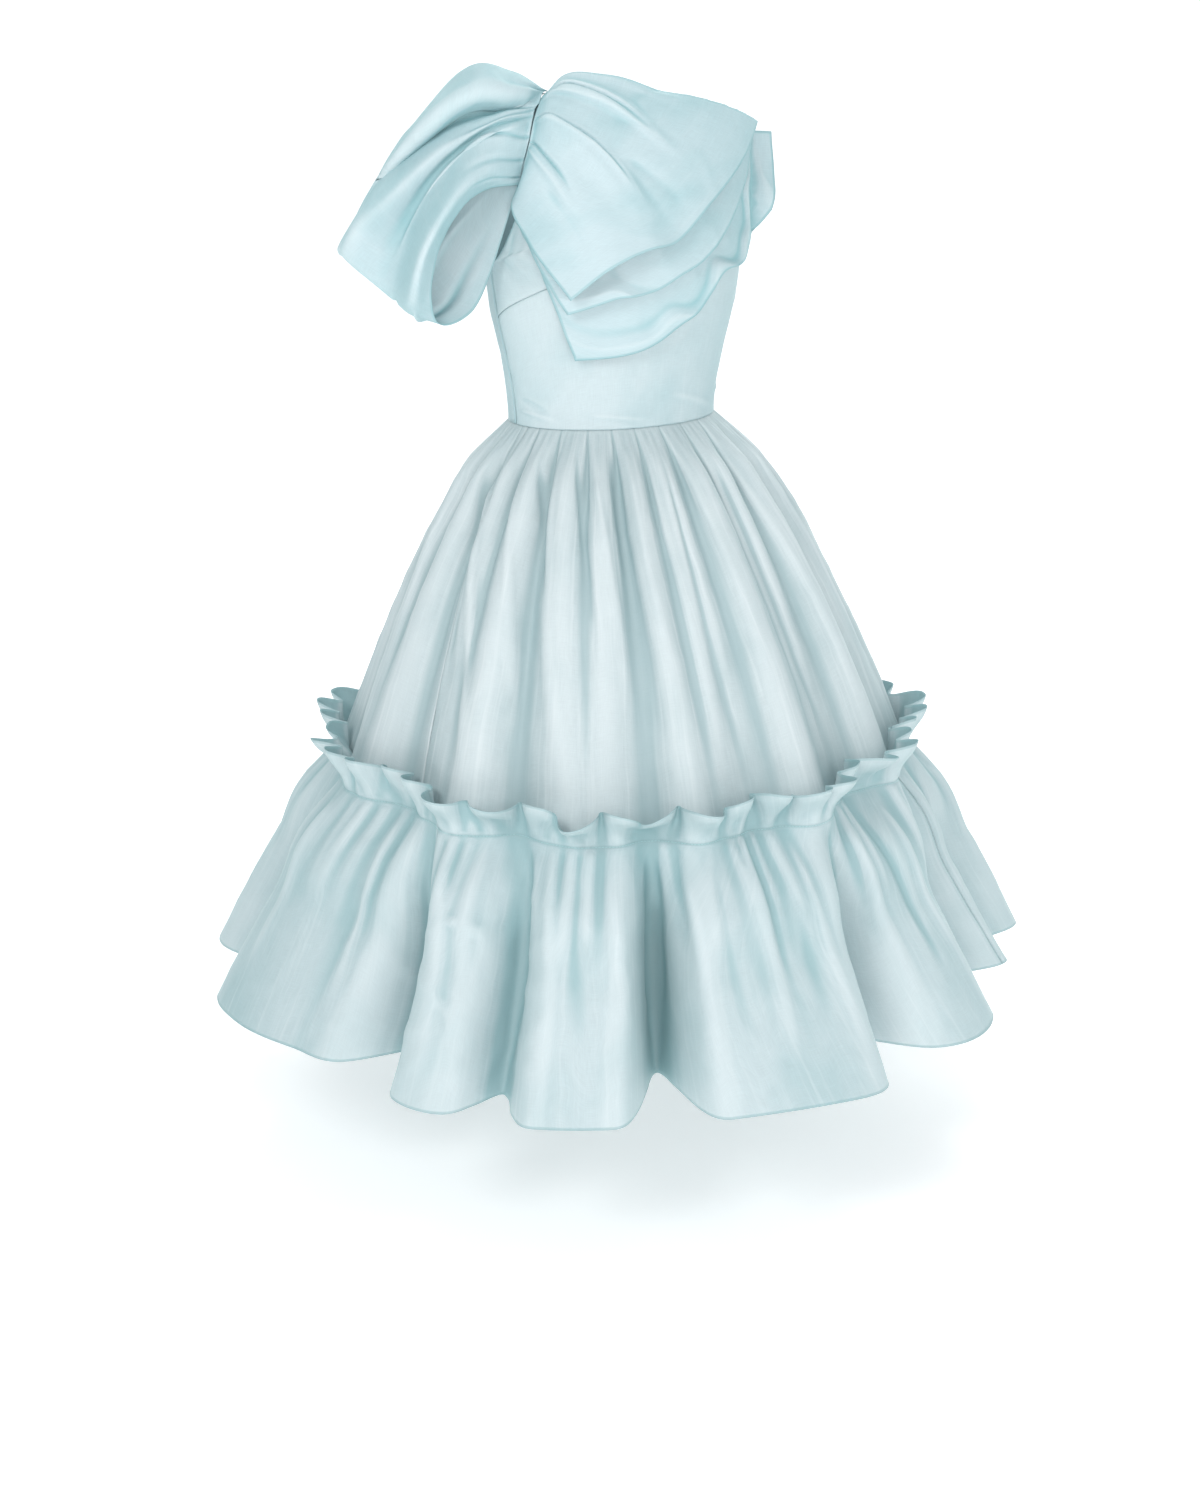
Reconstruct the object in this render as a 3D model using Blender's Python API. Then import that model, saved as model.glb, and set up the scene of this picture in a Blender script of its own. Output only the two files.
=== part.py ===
"""Midi gown, as worn: a one-shoulder bodice with a draped bow, a full gathered skirt
and a deep gathered flounce with a standing heading.

Frame: metres, +Z up. The front faces -Y and +X is the wearer's left. The origin is the
top of the wearer's right shoulder, where the strap rests. Every surface below is
worked out about the body's upright axis and moved to that origin when it is built.
"""
import math

import bmesh
import bpy
import numpy as np
from mathutils.bvhtree import BVHTree

# Driving sizes, in metres and degrees
SHOULDER_X = -0.110          # the strap's resting place, from the body's axis
WAIST_Z = -0.385             # waist seam, below the shoulder
STITCH_Z = -0.826            # line where the flounce is gathered on
HEM_Z = -1.099
BODICE_WALL = 0.0015
SKIRT_WALL = 0.0012
BOW_WALL = 0.0012
SEAM_GAP = 0.0003
SIDE = 90.0                  # angle of the side seams, from the front
BACK = 180.0
BODICE_RADIUS = 0.105        # radii by which a seam's gap is turned into an angle
WAIST_RADIUS = 0.110
STITCH_RADIUS = 0.350
HEM_RADIUS = 0.500

# Cloth colours
MINT = (0.62, 0.83, 0.83)
MINT_GREY = (0.58, 0.72, 0.73)
STEEL = (0.70, 0.72, 0.74)

# Body under the bodice: height, half width, depth to the front, depth to the back
TORSO = (
    (0.000, 0.175, 0.000, 0.000),
    (-0.001, 0.175, 0.022, 0.020),
    (-0.008, 0.175, 0.045, 0.040),
    (-0.030, 0.174, 0.078, 0.072),
    (-0.070, 0.172, 0.099, 0.093),
    (-0.110, 0.170, 0.112, 0.102),
    (-0.150, 0.168, 0.121, 0.106),
    (-0.190, 0.166, 0.127, 0.107),
    (-0.220, 0.163, 0.126, 0.106),
    (-0.254, 0.158, 0.119, 0.103),
    (-0.300, 0.147, 0.108, 0.099),
    (-0.345, 0.138, 0.101, 0.098),
    (WAIST_Z, 0.134, 0.098, 0.098),
)
SHOULDER_DROP = 0.014        # how far the strap's outer edge lies below its inner one
DROP_ENDS_Z = -0.110
DROP_STARTS_X = 0.110        # the strap lies level as far out as the origin
STRAP_OUTER_X = 0.152
SHOULDER_SEAM_Z = -0.00010   # front and back stop just short of the shoulder's ridge
SKIN_COLUMNS = 121           # facets of the surface that the bow is held clear of
SKIN_ROWS = 70

# Upper front: armhole edge height and distance from the axis, neckline edge likewise
UPPER_FRONT = (
    (SHOULDER_SEAM_Z, -0.152, SHOULDER_SEAM_Z, -0.098),
    (-0.008, -0.151, -0.008, -0.097),
    (-0.030, -0.148, -0.026, -0.091),
    (-0.070, -0.147, -0.055, -0.076),
    (-0.110, -0.151, -0.085, -0.050),
    (-0.150, -0.159, -0.118, -0.008),
    (-0.190, -0.166, -0.150, 0.050),
    (-0.222, -0.166, -0.178, 0.112),
    (-0.254, -0.166, -0.205, 0.166),
)
# Bust seam: angle round the body, height
BUST_SEAM = (
    (-90.0, -0.254),
    (-65.0, -0.226),
    (-52.0, -0.212),
    (-30.0, -0.200),
    (0.0, -0.192),
    (45.0, -0.195),
    (90.0, -0.205),
)
# Right back: armhole and side edge, then neckline and centre back edge
RIGHT_BACK = (
    (SHOULDER_SEAM_Z, -0.152, SHOULDER_SEAM_Z, -0.098),
    (-0.008, -0.151, -0.008, -0.097),
    (-0.030, -0.150, -0.028, -0.085),
    (-0.070, -0.151, -0.062, -0.058),
    (-0.110, -0.157, -0.092, -0.024),
    (-0.150, -0.164, -0.115, 0.000),
    (-0.190, -0.170, -0.165, 0.000),
    (-0.250, -0.170, -0.232, 0.000),
    (-0.318, -0.170, -0.310, 0.000),
    (WAIST_Z, -0.170, WAIST_Z, 0.000),
)
# Neckline of the left back: angle round the body, height
LEFT_BACK_NECK = (
    (90.0, -0.205),
    (110.0, -0.186),
    (135.0, -0.160),
    (160.0, -0.134),
    (180.0, -0.115),
)

# Skirt tier: share of the way down, half width, half depth, ring centre in x and y
TIER = (
    (0.00, 0.134, 0.098, 0.000, 0.000),
    (0.06, 0.157, 0.121, 0.001, 0.000),
    (0.18, 0.192, 0.158, 0.003, 0.000),
    (0.36, 0.237, 0.208, 0.006, 0.000),
    (0.58, 0.283, 0.262, 0.010, 0.000),
    (0.80, 0.323, 0.309, 0.014, 0.000),
    (1.00, 0.353, 0.348, 0.016, 0.000),
)
# Folds at the tier's lower edge: angle of a crest or a valley, its height
TIER_FOLDS = (
    (-165.0, 0.014),
    (-148.0, -0.012),
    (-128.0, 0.016),
    (-112.0, -0.010),
    (-97.0, 0.014),
    (-77.0, -0.014),
    (-62.0, 0.016),
    (-52.0, -0.008),
    (-37.0, 0.014),
    (-25.0, -0.010),
    (-15.0, 0.008),
    (-2.0, -0.014),
    (9.0, 0.010),
    (27.0, -0.030),
    (42.0, 0.002),
    (52.0, -0.012),
    (70.0, 0.018),
    (88.0, -0.012),
    (106.0, 0.014),
    (123.0, -0.012),
    (142.0, 0.016),
    (160.0, -0.012),
    (180.0, 0.002),
)
# Pleats let into the waist seam: angle of the groove where each one ends
PLEAT_GROOVES = (-171.0, -157.0, -141.0, -126.0, -111.0, -97.0, -82.0, -67.0, -52.0, -36.5, -23.5,
                 -11.0, 3.5, 18.0, 33.0, 49.0, 66.0, 84.0, 103.0, 123.0, 145.0, 168.0)
PLEAT_HEIGHT = 0.019
GROOVE_ROUNDING = 0.25       # 0 gives grooves with a sharp bottom
PLEAT_OPEN = 0.14            # share of the tier by which the pleats have opened
PLEAT_LEFT = 0.30            # what is left of them at the tier's lower edge
FOLD_GAIN = 1.15             # how far the folds below exceed their table
FOLD_GROWTH = 0.9
TIER_COLUMN = 2.4            # angle between columns of a wall
FLOUNCE_COLUMN = 2.0
# Seams of the tier and of the flounce, as angles from the front
TIER_SEAMS = (-76.8, 88.8, 180.0)
FLOUNCE_SEAMS = (-67.2, 52.8, 180.0)
HEM_MEAN = 0.505             # usual distance of the hem from the axis
HEM_CREST = 0.540
HEM_DEPTH = 0.120
VALLEY_SHARPNESS = 1.6       # above 1, valleys are narrower than crests
FLOUNCE_MIDDLE_X = 0.016     # the flounce hangs a little to the wearer's left

# Big folds at the hem: angle of a crest or a valley, its distance from the axis
HEM_FOLDS = (
    (-170.0, 0.525),
    (-158.0, 0.530),
    (-147.0, 0.452),
    (-138.0, 0.526),
    (-126.0, 0.530),
    (-114.0, 0.448),
    (-103.0, 0.520),
    (-92.0, 0.524),
    (-80.0, 0.495),
    (-73.0, 0.480),
    (-67.0, 0.415),
    (-60.0, 0.515),
    (-53.0, 0.520),
    (-48.0, 0.445),
    (-42.0, 0.532),
    (-31.0, 0.535),
    (-24.5, 0.405),
    (-18.0, 0.530),
    (-8.0, 0.540),
    (5.0, 0.515),
    (13.5, 0.400),
    (21.0, 0.465),
    (35.0, 0.485),
    (46.0, 0.420),
    (54.0, 0.480),
    (60.5, 0.448),
    (69.0, 0.525),
    (80.0, 0.535),
    (90.0, 0.450),
    (99.0, 0.525),
    (110.0, 0.530),
    (120.0, 0.452),
    (129.0, 0.520),
    (139.0, 0.526),
    (148.0, 0.455),
    (158.0, 0.526),
    (170.0, 0.530),
    (180.0, 0.462),
)
RUFFLES = 45                 # gathers at the flounce's stitch line
RUFFLE_WANDER = ((3, 0.9, 0.3), (5, 0.6, 1.9), (8, 0.45, 5.1))
GATHER_GROUPS = 11           # stretches round the flounce with stronger gathers
RUFFLE_AT_STITCH = 0.005
RUFFLE_BELOW = 0.009
GATHER_OPEN = 0.12           # share of the flounce by which the gathers have opened
GATHER_FADE = 0.42           # share over which they then run out
HEM_WAVE = 0.006             # slow rise and fall of the hem
RUFFLE_IN_HEADING = 0.016
RUFFLE_SPREAD = 0.90         # degrees that a ruffle's front widens at the heading's top
SPREAD_FROM_SEAM = 4.0       # degrees from a seam over which that widening sets in
HEADING = 0.055              # cloth standing above the stitch line
HEADING_DIP = 0.15           # share by which its edge dips between the ruffles
HEADING_LEAN = 4.0
HEADING_SWAY = 5.0
# Heading flaps that fall outwards: angle, half width, how far they lean
FLAPS = (
    (-62.5, 3.6, 18.0),
    (-53.0, 4.0, 30.0),
    (-39.0, 4.6, 38.0),
    (-26.5, 4.0, 46.0),
    (-13.5, 4.6, 26.0),
    (3.0, 4.0, 22.0),
    (17.0, 4.4, 12.0),
    (33.0, 4.0, 24.0),
    (96.0, 4.6, 34.0),
    (137.0, 5.0, 30.0),
    (171.0, 4.0, 36.0),
    (-158.0, 4.8, 32.0),
    (-108.0, 4.2, 28.0),
)
GATHER_PUFF = 0.010
SEAT_SLOPE = 1.90            # a slanting wall takes up more than its thickness

# Pinch seam of the bow on the strap: distance from the axis, height
PINCH = (
    (-0.100, -0.001),
    (-0.112, -0.006),
    (-0.127, -0.018),
    (-0.141, -0.045),
    (-0.148, -0.075),
    (-0.150, -0.094),
)
# Height of each layer over the body: least and most at the pinch, least and most far out
LAYER_BANDS = {
    "bow_layer_top": (0.0069, 0.0400, 0.0270, 0.2000),
    "bow_layer_middle": (0.0050, 0.0058, 0.0160, 0.0235),
    "bow_layer_under": (0.0022, 0.0030, 0.0050, 0.0125),
}
BAND_REACH = 0.110
BAND_FREE_X = 0.166          # past the layers above, a layer may stand off further
BAND_FREEDOM = 2.0
LOOP_ROOT = 0.0078           # height of the loop's outer ply at the pinch
LOOP_END = 0.0048            # and of its inner ply
PINCH_GAP = 0.0014           # the layers' roots from the loop's, along the strap

# Bow layers over the chest: upper edge, far edge and lower left edge, in millimetres
LAYER_EDGES = {
    "bow_layer_top": {
        "upper": ((-85, -30, 24), (-42, -60, 26), (26, -76, 5), (108, -71, -23)),
        "far": ((160, -60, -36), (117, -90, -75), (53, -130, -121), (-10, -156, -162),
                (-50, -162, -167), (-92, -157, -184), (-131, -130, -221)),
        "lower": ((-170, -60, -115), (-162, -84, -156)),
    },
    "bow_layer_middle": {
        "upper": ((-85, -28, 17), (-42, -55, 17), (26, -66, -3), (108, -61, -31)),
        "far": ((166, -50, -43), (120, -84, -112), (52, -122, -180), (-17, -142, -214),
                (-82, -137, -227), (-129, -116, -242)),
        "lower": ((-166, -56, -112), (-151, -74, -170)),
    },
    "bow_layer_under": {
        "upper": ((-85, -25, 10), (-42, -48, 8), (26, -56, -12), (108, -51, -40)),
        "far": ((196, -48, -49), (191, -63, -109), (150, -83, -187), (72, -125, -217),
                (46, -127, -247), (-29, -126, -289), (-109, -100, -300)),
        "lower": ((-162, -52, -110), (-138, -72, -190)),
    },
}
LAYER_BULGE = {"bow_layer_top": 0.012, "bow_layer_middle": 0.005, "bow_layer_under": 0.003}
# Folds of each layer: place across the fan at its root and far edge, height at each
LAYER_FOLDS = {
    "bow_layer_top": ((0.15, 0.30, 0.014, 0.000), (0.46, 0.66, 0.009, 0.003)),
    "bow_layer_middle": ((0.35, 0.62, 0.003, 0.007), (0.60, 0.84, 0.002, 0.004)),
    "bow_layer_under": ((0.12, 0.20, 0.002, 0.010), (0.28, 0.34, 0.002, 0.010),
                        (0.42, 0.49, 0.002, 0.010), (0.62, 0.70, 0.002, 0.009)),
}
FOLD_WIDTH = 0.055
FOLD_WAY = (0.10, -0.80, 0.55)       # way in which the layers' folds stand out

# Draped loop over the right arm, rib by rib from the front rim over to the back rim:
# where its root lies on the pinch, then its cloth out, round the turn and back, in mm
LOOP_KEYS = (0.0, 0.16, 0.32, 0.45, 0.54, 0.62, 0.74, 0.88, 1.0)
LOOP_RIBS = (
    (1.00, ((-203, -60, -97), (-246, -76, -118), (-273, -74, -164), (-276, -62, -212),
            (-262, -47, -246), (-222, -38, -246), (-188, -34, -205))),
    (0.80, ((-209, -76, -76), (-264, -90, -106), (-300, -86, -165), (-304, -66, -214),
            (-292, -40, -236), (-252, -22, -222), (-214, -24, -160))),
    (0.54, ((-192, -44, -40), (-244, -34, -82), (-278, -20, -134), (-304, -12, -180),
            (-312, -2, -209), (-283, 2, -196), (-246, -4, -140))),
    (0.36, ((-180, -46, -18), (-252, -36, -54), (-308, -16, -106), (-342, 4, -142),
            (-348, 22, -172), (-300, 24, -166), (-256, 12, -110))),
    (0.24, ((-163, -22, -6), (-210, -14, -10), (-256, 2, -44), (-306, 22, -98),
            (-334, 44, -158), (-298, 42, -150), (-254, 26, -96))),
    (0.12, ((-163, -42, 8), (-212, -42, 8), (-258, -18, -28), (-296, 20, -84),
            (-324, 56, -150), (-290, 54, -142), (-248, 36, -88))),
    (0.00, ((-132, 8, 28), (-182, 16, 34), (-226, 34, -10), (-270, 58, -72),
            (-306, 78, -150), (-280, 68, -146), (-244, 48, -90))),
    (-0.30, ((-150, 46, 12), (-200, 62, -8), (-244, 84, -54), (-272, 98, -112),
             (-280, 100, -184), (-256, 84, -176), (-224, 62, -108))),
)
LOOP_BEHIND = (-134.0, -0.008)       # angle and height where its last rib meets the back
LOOP_CROWDING = 0.07         # columns lie closer together near the strap
LOOP_RIB_PLACES = (0.0, 0.17, 0.36, 0.47, 0.57, 0.64, 0.80, 1.0)
# Folds of the loop that lie over the next one: place across the ribs at the strap and at
# the turn, how far the fold stands out, its soft and its steep side as shares of the ribs
LOOP_LIPS = (
    (0.40, 0.34, 0.0100, -0.13, 0.030),
    (0.55, 0.60, 0.0110, 0.16, -0.030),
)

# Concealed zip at the centre back, with its slider and pull tab
ZIP_TOP_Z = -0.1315
ZIP_TAPE = 0.0056
ZIP_THICK = 0.0010
ZIP_CLEAR = 0.0010
NOTCH_GAP = 0.0022           # the back edges are held apart at the slider
NOTCH_END_Z = -0.137
NOTCH_ROW = 0.598            # row of the right back just below the slider
SLIDER_Z = -0.1255
SLIDER_HALF_LONG = 0.0040
SLIDER_CLEAR = 0.0007        # plates from the cloth's smooth surface, which its facets cross
SLIDER_HALF_WIDE = 0.0027
SLIDER_PLATE = 0.0012
NECK_HALF = 0.0007
BRIDGE_HALF_WIDE = 0.0006
BRIDGE_HALF_LONG = 0.0026
BRIDGE_HIGH = 0.0026
BRIDGE_THICK = 0.0008
PIN_HEIGHT = 0.0009          # the pull's pin above the slider's outer plate
PULL_LONG = 0.0210
PULL_THICK = 0.0008
PULL_HALF_TOP = 0.0019
PULL_HALF_LOW = 0.0030
PULL_ARM = 0.0008
PULL_SLOT_LONG = 0.0040
PIN_HALF_LONG = 0.0005


def weights(keys, places):
    """Share of each key's row in a smooth curve through the rows, at each place."""
    keys = np.asarray(keys, float)
    places = np.asarray(places, float)
    own = np.eye(len(keys))
    slopes = np.gradient(own, keys, axis=0)
    low = np.clip(np.searchsorted(keys, places, side="right") - 1, 0, len(keys) - 2)
    span = keys[low + 1] - keys[low]
    s = (places - keys[low]) / span
    first = (1 + 2 * s) * (1 - s) ** 2
    last = s * s * (3 - 2 * s)
    first_slope = s * (1 - s) ** 2 * span
    last_slope = s * s * (s - 1) * span
    return (first[..., None] * own[low] + last[..., None] * own[low + 1]
            + first_slope[..., None] * slopes[low] + last_slope[..., None] * slopes[low + 1])


def read(table, places):
    """Columns of a table, smoothly between its rows; its first column holds the keys."""
    rows = np.asarray(table, float)
    return weights(rows[:, 0], places) @ rows[:, 1:]


def read_round(table, angles):
    """One column of a table of angles that closes on itself after a full turn."""
    rows = np.asarray(table, float)
    turn = np.array([360.0, 0.0])
    rows = np.vstack([rows[-3:] - turn, rows, rows[:3] + turn])
    wrapped = (np.asarray(angles, float) + 180.0) % 360.0 - 180.0
    return (weights(rows[:, 0], wrapped) @ rows[:, 1:])[..., 0]


def ease(value):
    """Smooth step from 0 to 1."""
    s = np.clip(value, 0.0, 1.0)
    return s * s * (3 - 2 * s)


def point(x, y, z):
    return np.stack(np.broadcast_arrays(x, y, z), axis=-1)


def route(points, places):
    """Points along a smooth curve through the given ones, by share of its length."""
    points = np.asarray(points, float)
    steps = np.linalg.norm(np.diff(points, axis=0), axis=1)
    keys = np.concatenate([[0.0], np.cumsum(steps)]) / steps.sum()
    return weights(keys, places) @ points


def normals(surface, u, v):
    """Unit normals on the outer side: u runs to the wearer's left, v runs down."""
    step = 1e-5
    along_u = surface(u + step, v) - surface(u - step, v)
    along_v = surface(u, v + step) - surface(u, v - step)
    normal = np.cross(along_v, along_u)
    return normal / np.maximum(np.linalg.norm(normal, axis=-1, keepdims=True), 1e-12)


def material(name, colour, roughness, metallic=0.0):
    """One plain finish."""
    finish = bpy.data.materials.new(name)
    finish.use_nodes = True
    shader = finish.node_tree.nodes["Principled BSDF"]
    shader.inputs["Base Color"].default_value = (*colour, 1.0)
    shader.inputs["Roughness"].default_value = roughness
    shader.inputs["Metallic"].default_value = metallic
    return finish


def add_object(name, points, faces, finish, smooth=True):
    """A named object from points given about the body's axis."""
    placed = np.asarray(points, float) - np.array([SHOULDER_X, 0.0, 0.0])
    mesh = bpy.data.meshes.new(name)
    mesh.from_pydata(placed.tolist(), [], faces)
    mesh.update()
    if smooth:
        mesh.shade_smooth()
        mesh.set_sharp_from_angle(angle=math.radians(50))
    mesh.materials.append(finish)
    thing = bpy.data.objects.new(name, mesh)
    bpy.context.scene.collection.objects.link(thing)
    return thing


def wall(name, surface, columns, rows, thickness, finish):
    """A cloth wall: its outer face on the surface, its inner face the thickness inside."""
    u, v = np.meshgrid(np.asarray(columns), np.asarray(rows), indexing="ij")
    outer = surface(u, v)
    inner = outer - normals(surface, u, v) * thickness
    across, down = u.shape
    half = across * down

    def at(i, j, side):
        return side * half + i * down + j

    faces = []
    for i in range(across - 1):
        for j in range(down - 1):
            faces.append((at(i, j, 0), at(i, j + 1, 0), at(i + 1, j + 1, 0), at(i + 1, j, 0)))
            faces.append((at(i, j, 1), at(i + 1, j, 1), at(i + 1, j + 1, 1), at(i, j + 1, 1)))
    for i in range(across - 1):
        for j, (a, b) in ((0, (i, i + 1)), (down - 1, (i + 1, i))):
            faces.append((at(a, j, 0), at(b, j, 0), at(b, j, 1), at(a, j, 1)))
    for j in range(down - 1):
        for i, (a, b) in ((0, (j + 1, j)), (across - 1, (j, j + 1))):
            faces.append((at(i, a, 0), at(i, b, 0), at(i, b, 1), at(i, a, 1)))
    points = np.concatenate([outer.reshape(-1, 3), inner.reshape(-1, 3)])
    return add_object(name, points, faces, finish)


def even(count):
    """Evenly spaced shares from 0 to 1."""
    return np.linspace(0.0, 1.0, count + 1)


# Bodice

def level_of(z):
    """Place of a height among the rows of the torso table."""
    heights = [-row[0] for row in TORSO]
    return np.interp(-np.asarray(z, float), heights, range(len(heights)))


def body_point(angle, z):
    """Point on the bodice's outer face, by angle from the front and height."""
    rows = np.asarray(TORSO)
    shares = weights(range(len(rows)), level_of(z))
    height, wide, front, back = np.moveaxis(shares @ rows, -1, 0)
    a = np.radians(angle)
    deep = np.where(np.cos(a) > 0, front, back)
    x = wide * np.sin(a)
    return point(x, -deep * np.cos(a), height - shoulder_drop(x, height))


def angle_at(x, z):
    """Angle round the front of the body of a distance from the axis at a height."""
    wide = np.interp(level_of(z), range(len(TORSO)), [row[1] for row in TORSO])
    return np.degrees(np.arcsin(np.clip(np.asarray(x) / wide, -1.0, 1.0)))


def shoulder_drop(x, z):
    """How far the strap's slope takes a place below its row of the torso table."""
    outer = np.clip((-x - DROP_STARTS_X) / (STRAP_OUTER_X - DROP_STARTS_X), 0.0, 1.5)
    return SHOULDER_DROP * outer * ease(1 - z / DROP_ENDS_Z)


def skin_tree():
    """The body's outer surface as facets, for holding the bow clear of it."""
    shares = np.linspace(0.0, 1.0, SKIN_ROWS) ** 2
    z = SHOULDER_SEAM_Z + (WAIST_Z - SHOULDER_SEAM_Z) * shares
    angle, level = np.meshgrid(np.linspace(-BACK, BACK, SKIN_COLUMNS), z, indexing="ij")
    points = body_point(angle, level).reshape(-1, 3)
    faces = []
    for i in range(SKIN_COLUMNS - 1):
        for j in range(SKIN_ROWS - 1):
            a = i * SKIN_ROWS + j
            faces.append((a, a + 1, a + SKIN_ROWS + 1, a + SKIN_ROWS))
    return BVHTree.FromPolygons(points.tolist(), faces)


def held_between(tree, points, low, high, soft=0.0006):
    """Points moved along the body's normals so that their height over it keeps its band."""
    flat = np.array(points, float).reshape(-1, 3)
    low = np.broadcast_to(low, points.shape[:-1]).reshape(-1)
    high = np.broadcast_to(high, points.shape[:-1]).reshape(-1)
    for _ in range(3):
        found = [tree.find_nearest(place) for place in flat.tolist()]
        near = np.array([hit[0] for hit in found])
        out = np.array([hit[1] for hit in found])
        height = np.sum((flat - near) * out, axis=-1)
        wanted = low + soft * np.logaddexp(0.0, (height - low) / soft)
        wanted = np.minimum(wanted, high)
        flat = flat + out * (wanted - height)[..., None]
    return flat.reshape(points.shape)


def off_body(angle, z, height):
    """Point at a height over the body, or within it where the height is less than 0."""
    # Heights run up where a wall's rows run down, so the normals are turned round
    return body_point(angle, z) - normals(body_point, angle, z) * height


def trimmed(first, last, u, radius):
    """Angle across a panel that stops half a seam gap short of each end."""
    trim = np.degrees(SEAM_GAP / 2 / radius)
    return first + (last - first) * u + trim * (1 - 2 * u)


def edge_columns(table, v):
    rows = np.asarray(table, float)
    return np.moveaxis(weights(even(len(rows) - 1), v) @ rows, -1, 0)


def upper_front(u, v):
    """Bust cup and strap, from the armhole to the neckline and down to the bust seam."""
    arm_z, arm_x, neck_z, neck_x = edge_columns(UPPER_FRONT, v)
    first = angle_at(arm_x, arm_z)
    last = angle_at(neck_x, neck_z)
    angle = first + (last - first) * u
    z = arm_z + (neck_z - arm_z) * u
    seam = read(BUST_SEAM, np.clip(angle, -SIDE, SIDE))[..., 0]
    low_row = UPPER_FRONT[-1]
    straight = low_row[0] + (low_row[2] - low_row[0]) * (angle + SIDE) / (2 * SIDE)
    z = z + (seam - straight + SEAM_GAP / 2) * np.clip(v, 0, 1) ** 3
    return body_point(angle, z)


def lower_front(u, v):
    """Front from the bust seam to the waist."""
    angle = trimmed(-SIDE, SIDE, u, BODICE_RADIUS)
    top = read(BUST_SEAM, np.clip(angle, -SIDE, SIDE))[..., 0] - SEAM_GAP / 2
    return body_point(angle, top + (WAIST_Z - top) * v)


def notch(z):
    """Half the gap between the back's edges, wider where the slider passes."""
    opened = ease((z - NOTCH_END_Z) / 0.006)
    return SEAM_GAP / 2 + (NOTCH_GAP - SEAM_GAP) / 2 * opened


def right_back(u, v):
    """Right back with its strap, from the centre back round to the armhole and side."""
    arm_z, arm_x, mid_z, mid_x = edge_columns(RIGHT_BACK, v)
    z = mid_z + (arm_z - mid_z) * u
    on_seam = np.where(mid_z < -0.100, notch(mid_z), 0.0)
    first = -180.0 - angle_at(np.minimum(mid_x, 0.0) - on_seam, mid_z)
    last = -180.0 - angle_at(arm_x, arm_z) - 0.08
    return body_point(first + (last - first) * u, z)


def left_back(u, v):
    """Left back, from the side seam round to the centre back."""
    top_angle = trimmed(SIDE, BACK, u, BODICE_RADIUS)
    top = read(LEFT_BACK_NECK, np.clip(top_angle, SIDE, BACK))[..., 0]
    z = top + (WAIST_Z - top) * v
    wide = np.interp(level_of(z), range(len(TORSO)), [row[1] for row in TORSO])
    extra = np.degrees(notch(z) / wide) * np.clip(u, 0, 1) ** 6
    return body_point(top_angle - extra, z)


def add_bodice(cloth):
    wall("bodice_front_upper", upper_front, even(12), even(10), BODICE_WALL, cloth)
    wall("bodice_front_lower", lower_front, even(12), even(5), BODICE_WALL, cloth)
    rows = np.sort(np.append(even(14), NOTCH_ROW))
    wall("bodice_back_right", right_back, even(6), rows, BODICE_WALL, cloth)
    wall("bodice_back_left", left_back, even(7), even(9), BODICE_WALL, cloth)


# Skirt and flounce

def wandering(angle, count, wander):
    """Phase of waves round the body whose widths differ from one to the next."""
    a = np.radians(angle)
    phase = count * a
    for times, amount, offset in wander:
        phase = phase + amount * np.sin(times * a + offset)
    return phase


def pleated(angle):
    """Puff of the cloth between the waist's pleats, from 0 in a groove to 1."""
    start = PLEAT_GROOVES[0]
    turned = (np.asarray(angle, float) - start) % 360.0 + start
    grooves = (*PLEAT_GROOVES, start + 360.0)
    place = np.interp(turned, grooves, range(len(grooves)))
    across = np.sin(np.pi * (place - np.floor(place)))
    soft = GROOVE_ROUNDING
    return (np.hypot(across, soft) - soft) / (np.hypot(1.0, soft) - soft)


def tier_point(angle, share):
    """Point on the skirt tier, by angle from the front and share of the way down."""
    wide, deep, middle_x, middle_y = np.moveaxis(read(TIER, share), -1, 0)
    a = np.radians(angle)
    high = PLEAT_HEIGHT * ease(share / PLEAT_OPEN)
    high = high * (1 - (1 - PLEAT_LEFT) * ease((share - 0.20) / 0.80))
    fold = FOLD_GAIN * read_round(TIER_FOLDS, angle) * np.clip(share, 0, 1.1) ** FOLD_GROWTH
    out = high * (pleated(angle) - 0.25) + fold
    x = middle_x + (wide + out) * np.sin(a)
    y = middle_y - (deep + out) * np.cos(a)
    return point(x, y, WAIST_Z - SEAM_GAP + (STITCH_Z - WAIST_Z) * share)


def tier_panel(first, last):
    def surface(u, v):
        radius = WAIST_RADIUS + (STITCH_RADIUS - WAIST_RADIUS) * v
        return tier_point(trimmed(first, last, u, radius), v)
    return surface


def flap_lean(angle):
    """How far the heading leans outwards, in degrees from upright."""
    lean = HEADING_LEAN + HEADING_SWAY * np.cos(wandering(angle, RUFFLES, RUFFLE_WANDER))
    for middle, half, amount in FLAPS:
        off = (angle - middle + 180.0) % 360.0 - 180.0
        lean = lean + amount * np.exp(-(off / half) ** 2)
    return lean


FLOUNCE_DROP = HEM_Z - STITCH_Z


def heading_spread(angle):
    """Degrees that the ruffles' fronts push the heading's top edge to each side."""
    off = np.abs((np.subtract.outer(angle, FLOUNCE_SEAMS) + 180.0) % 360.0 - 180.0).min(axis=-1)
    phase = wandering(angle, RUFFLES, RUFFLE_WANDER)
    return RUFFLE_SPREAD * np.sin(phase) * ease(off / SPREAD_FROM_SEAM)


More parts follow.
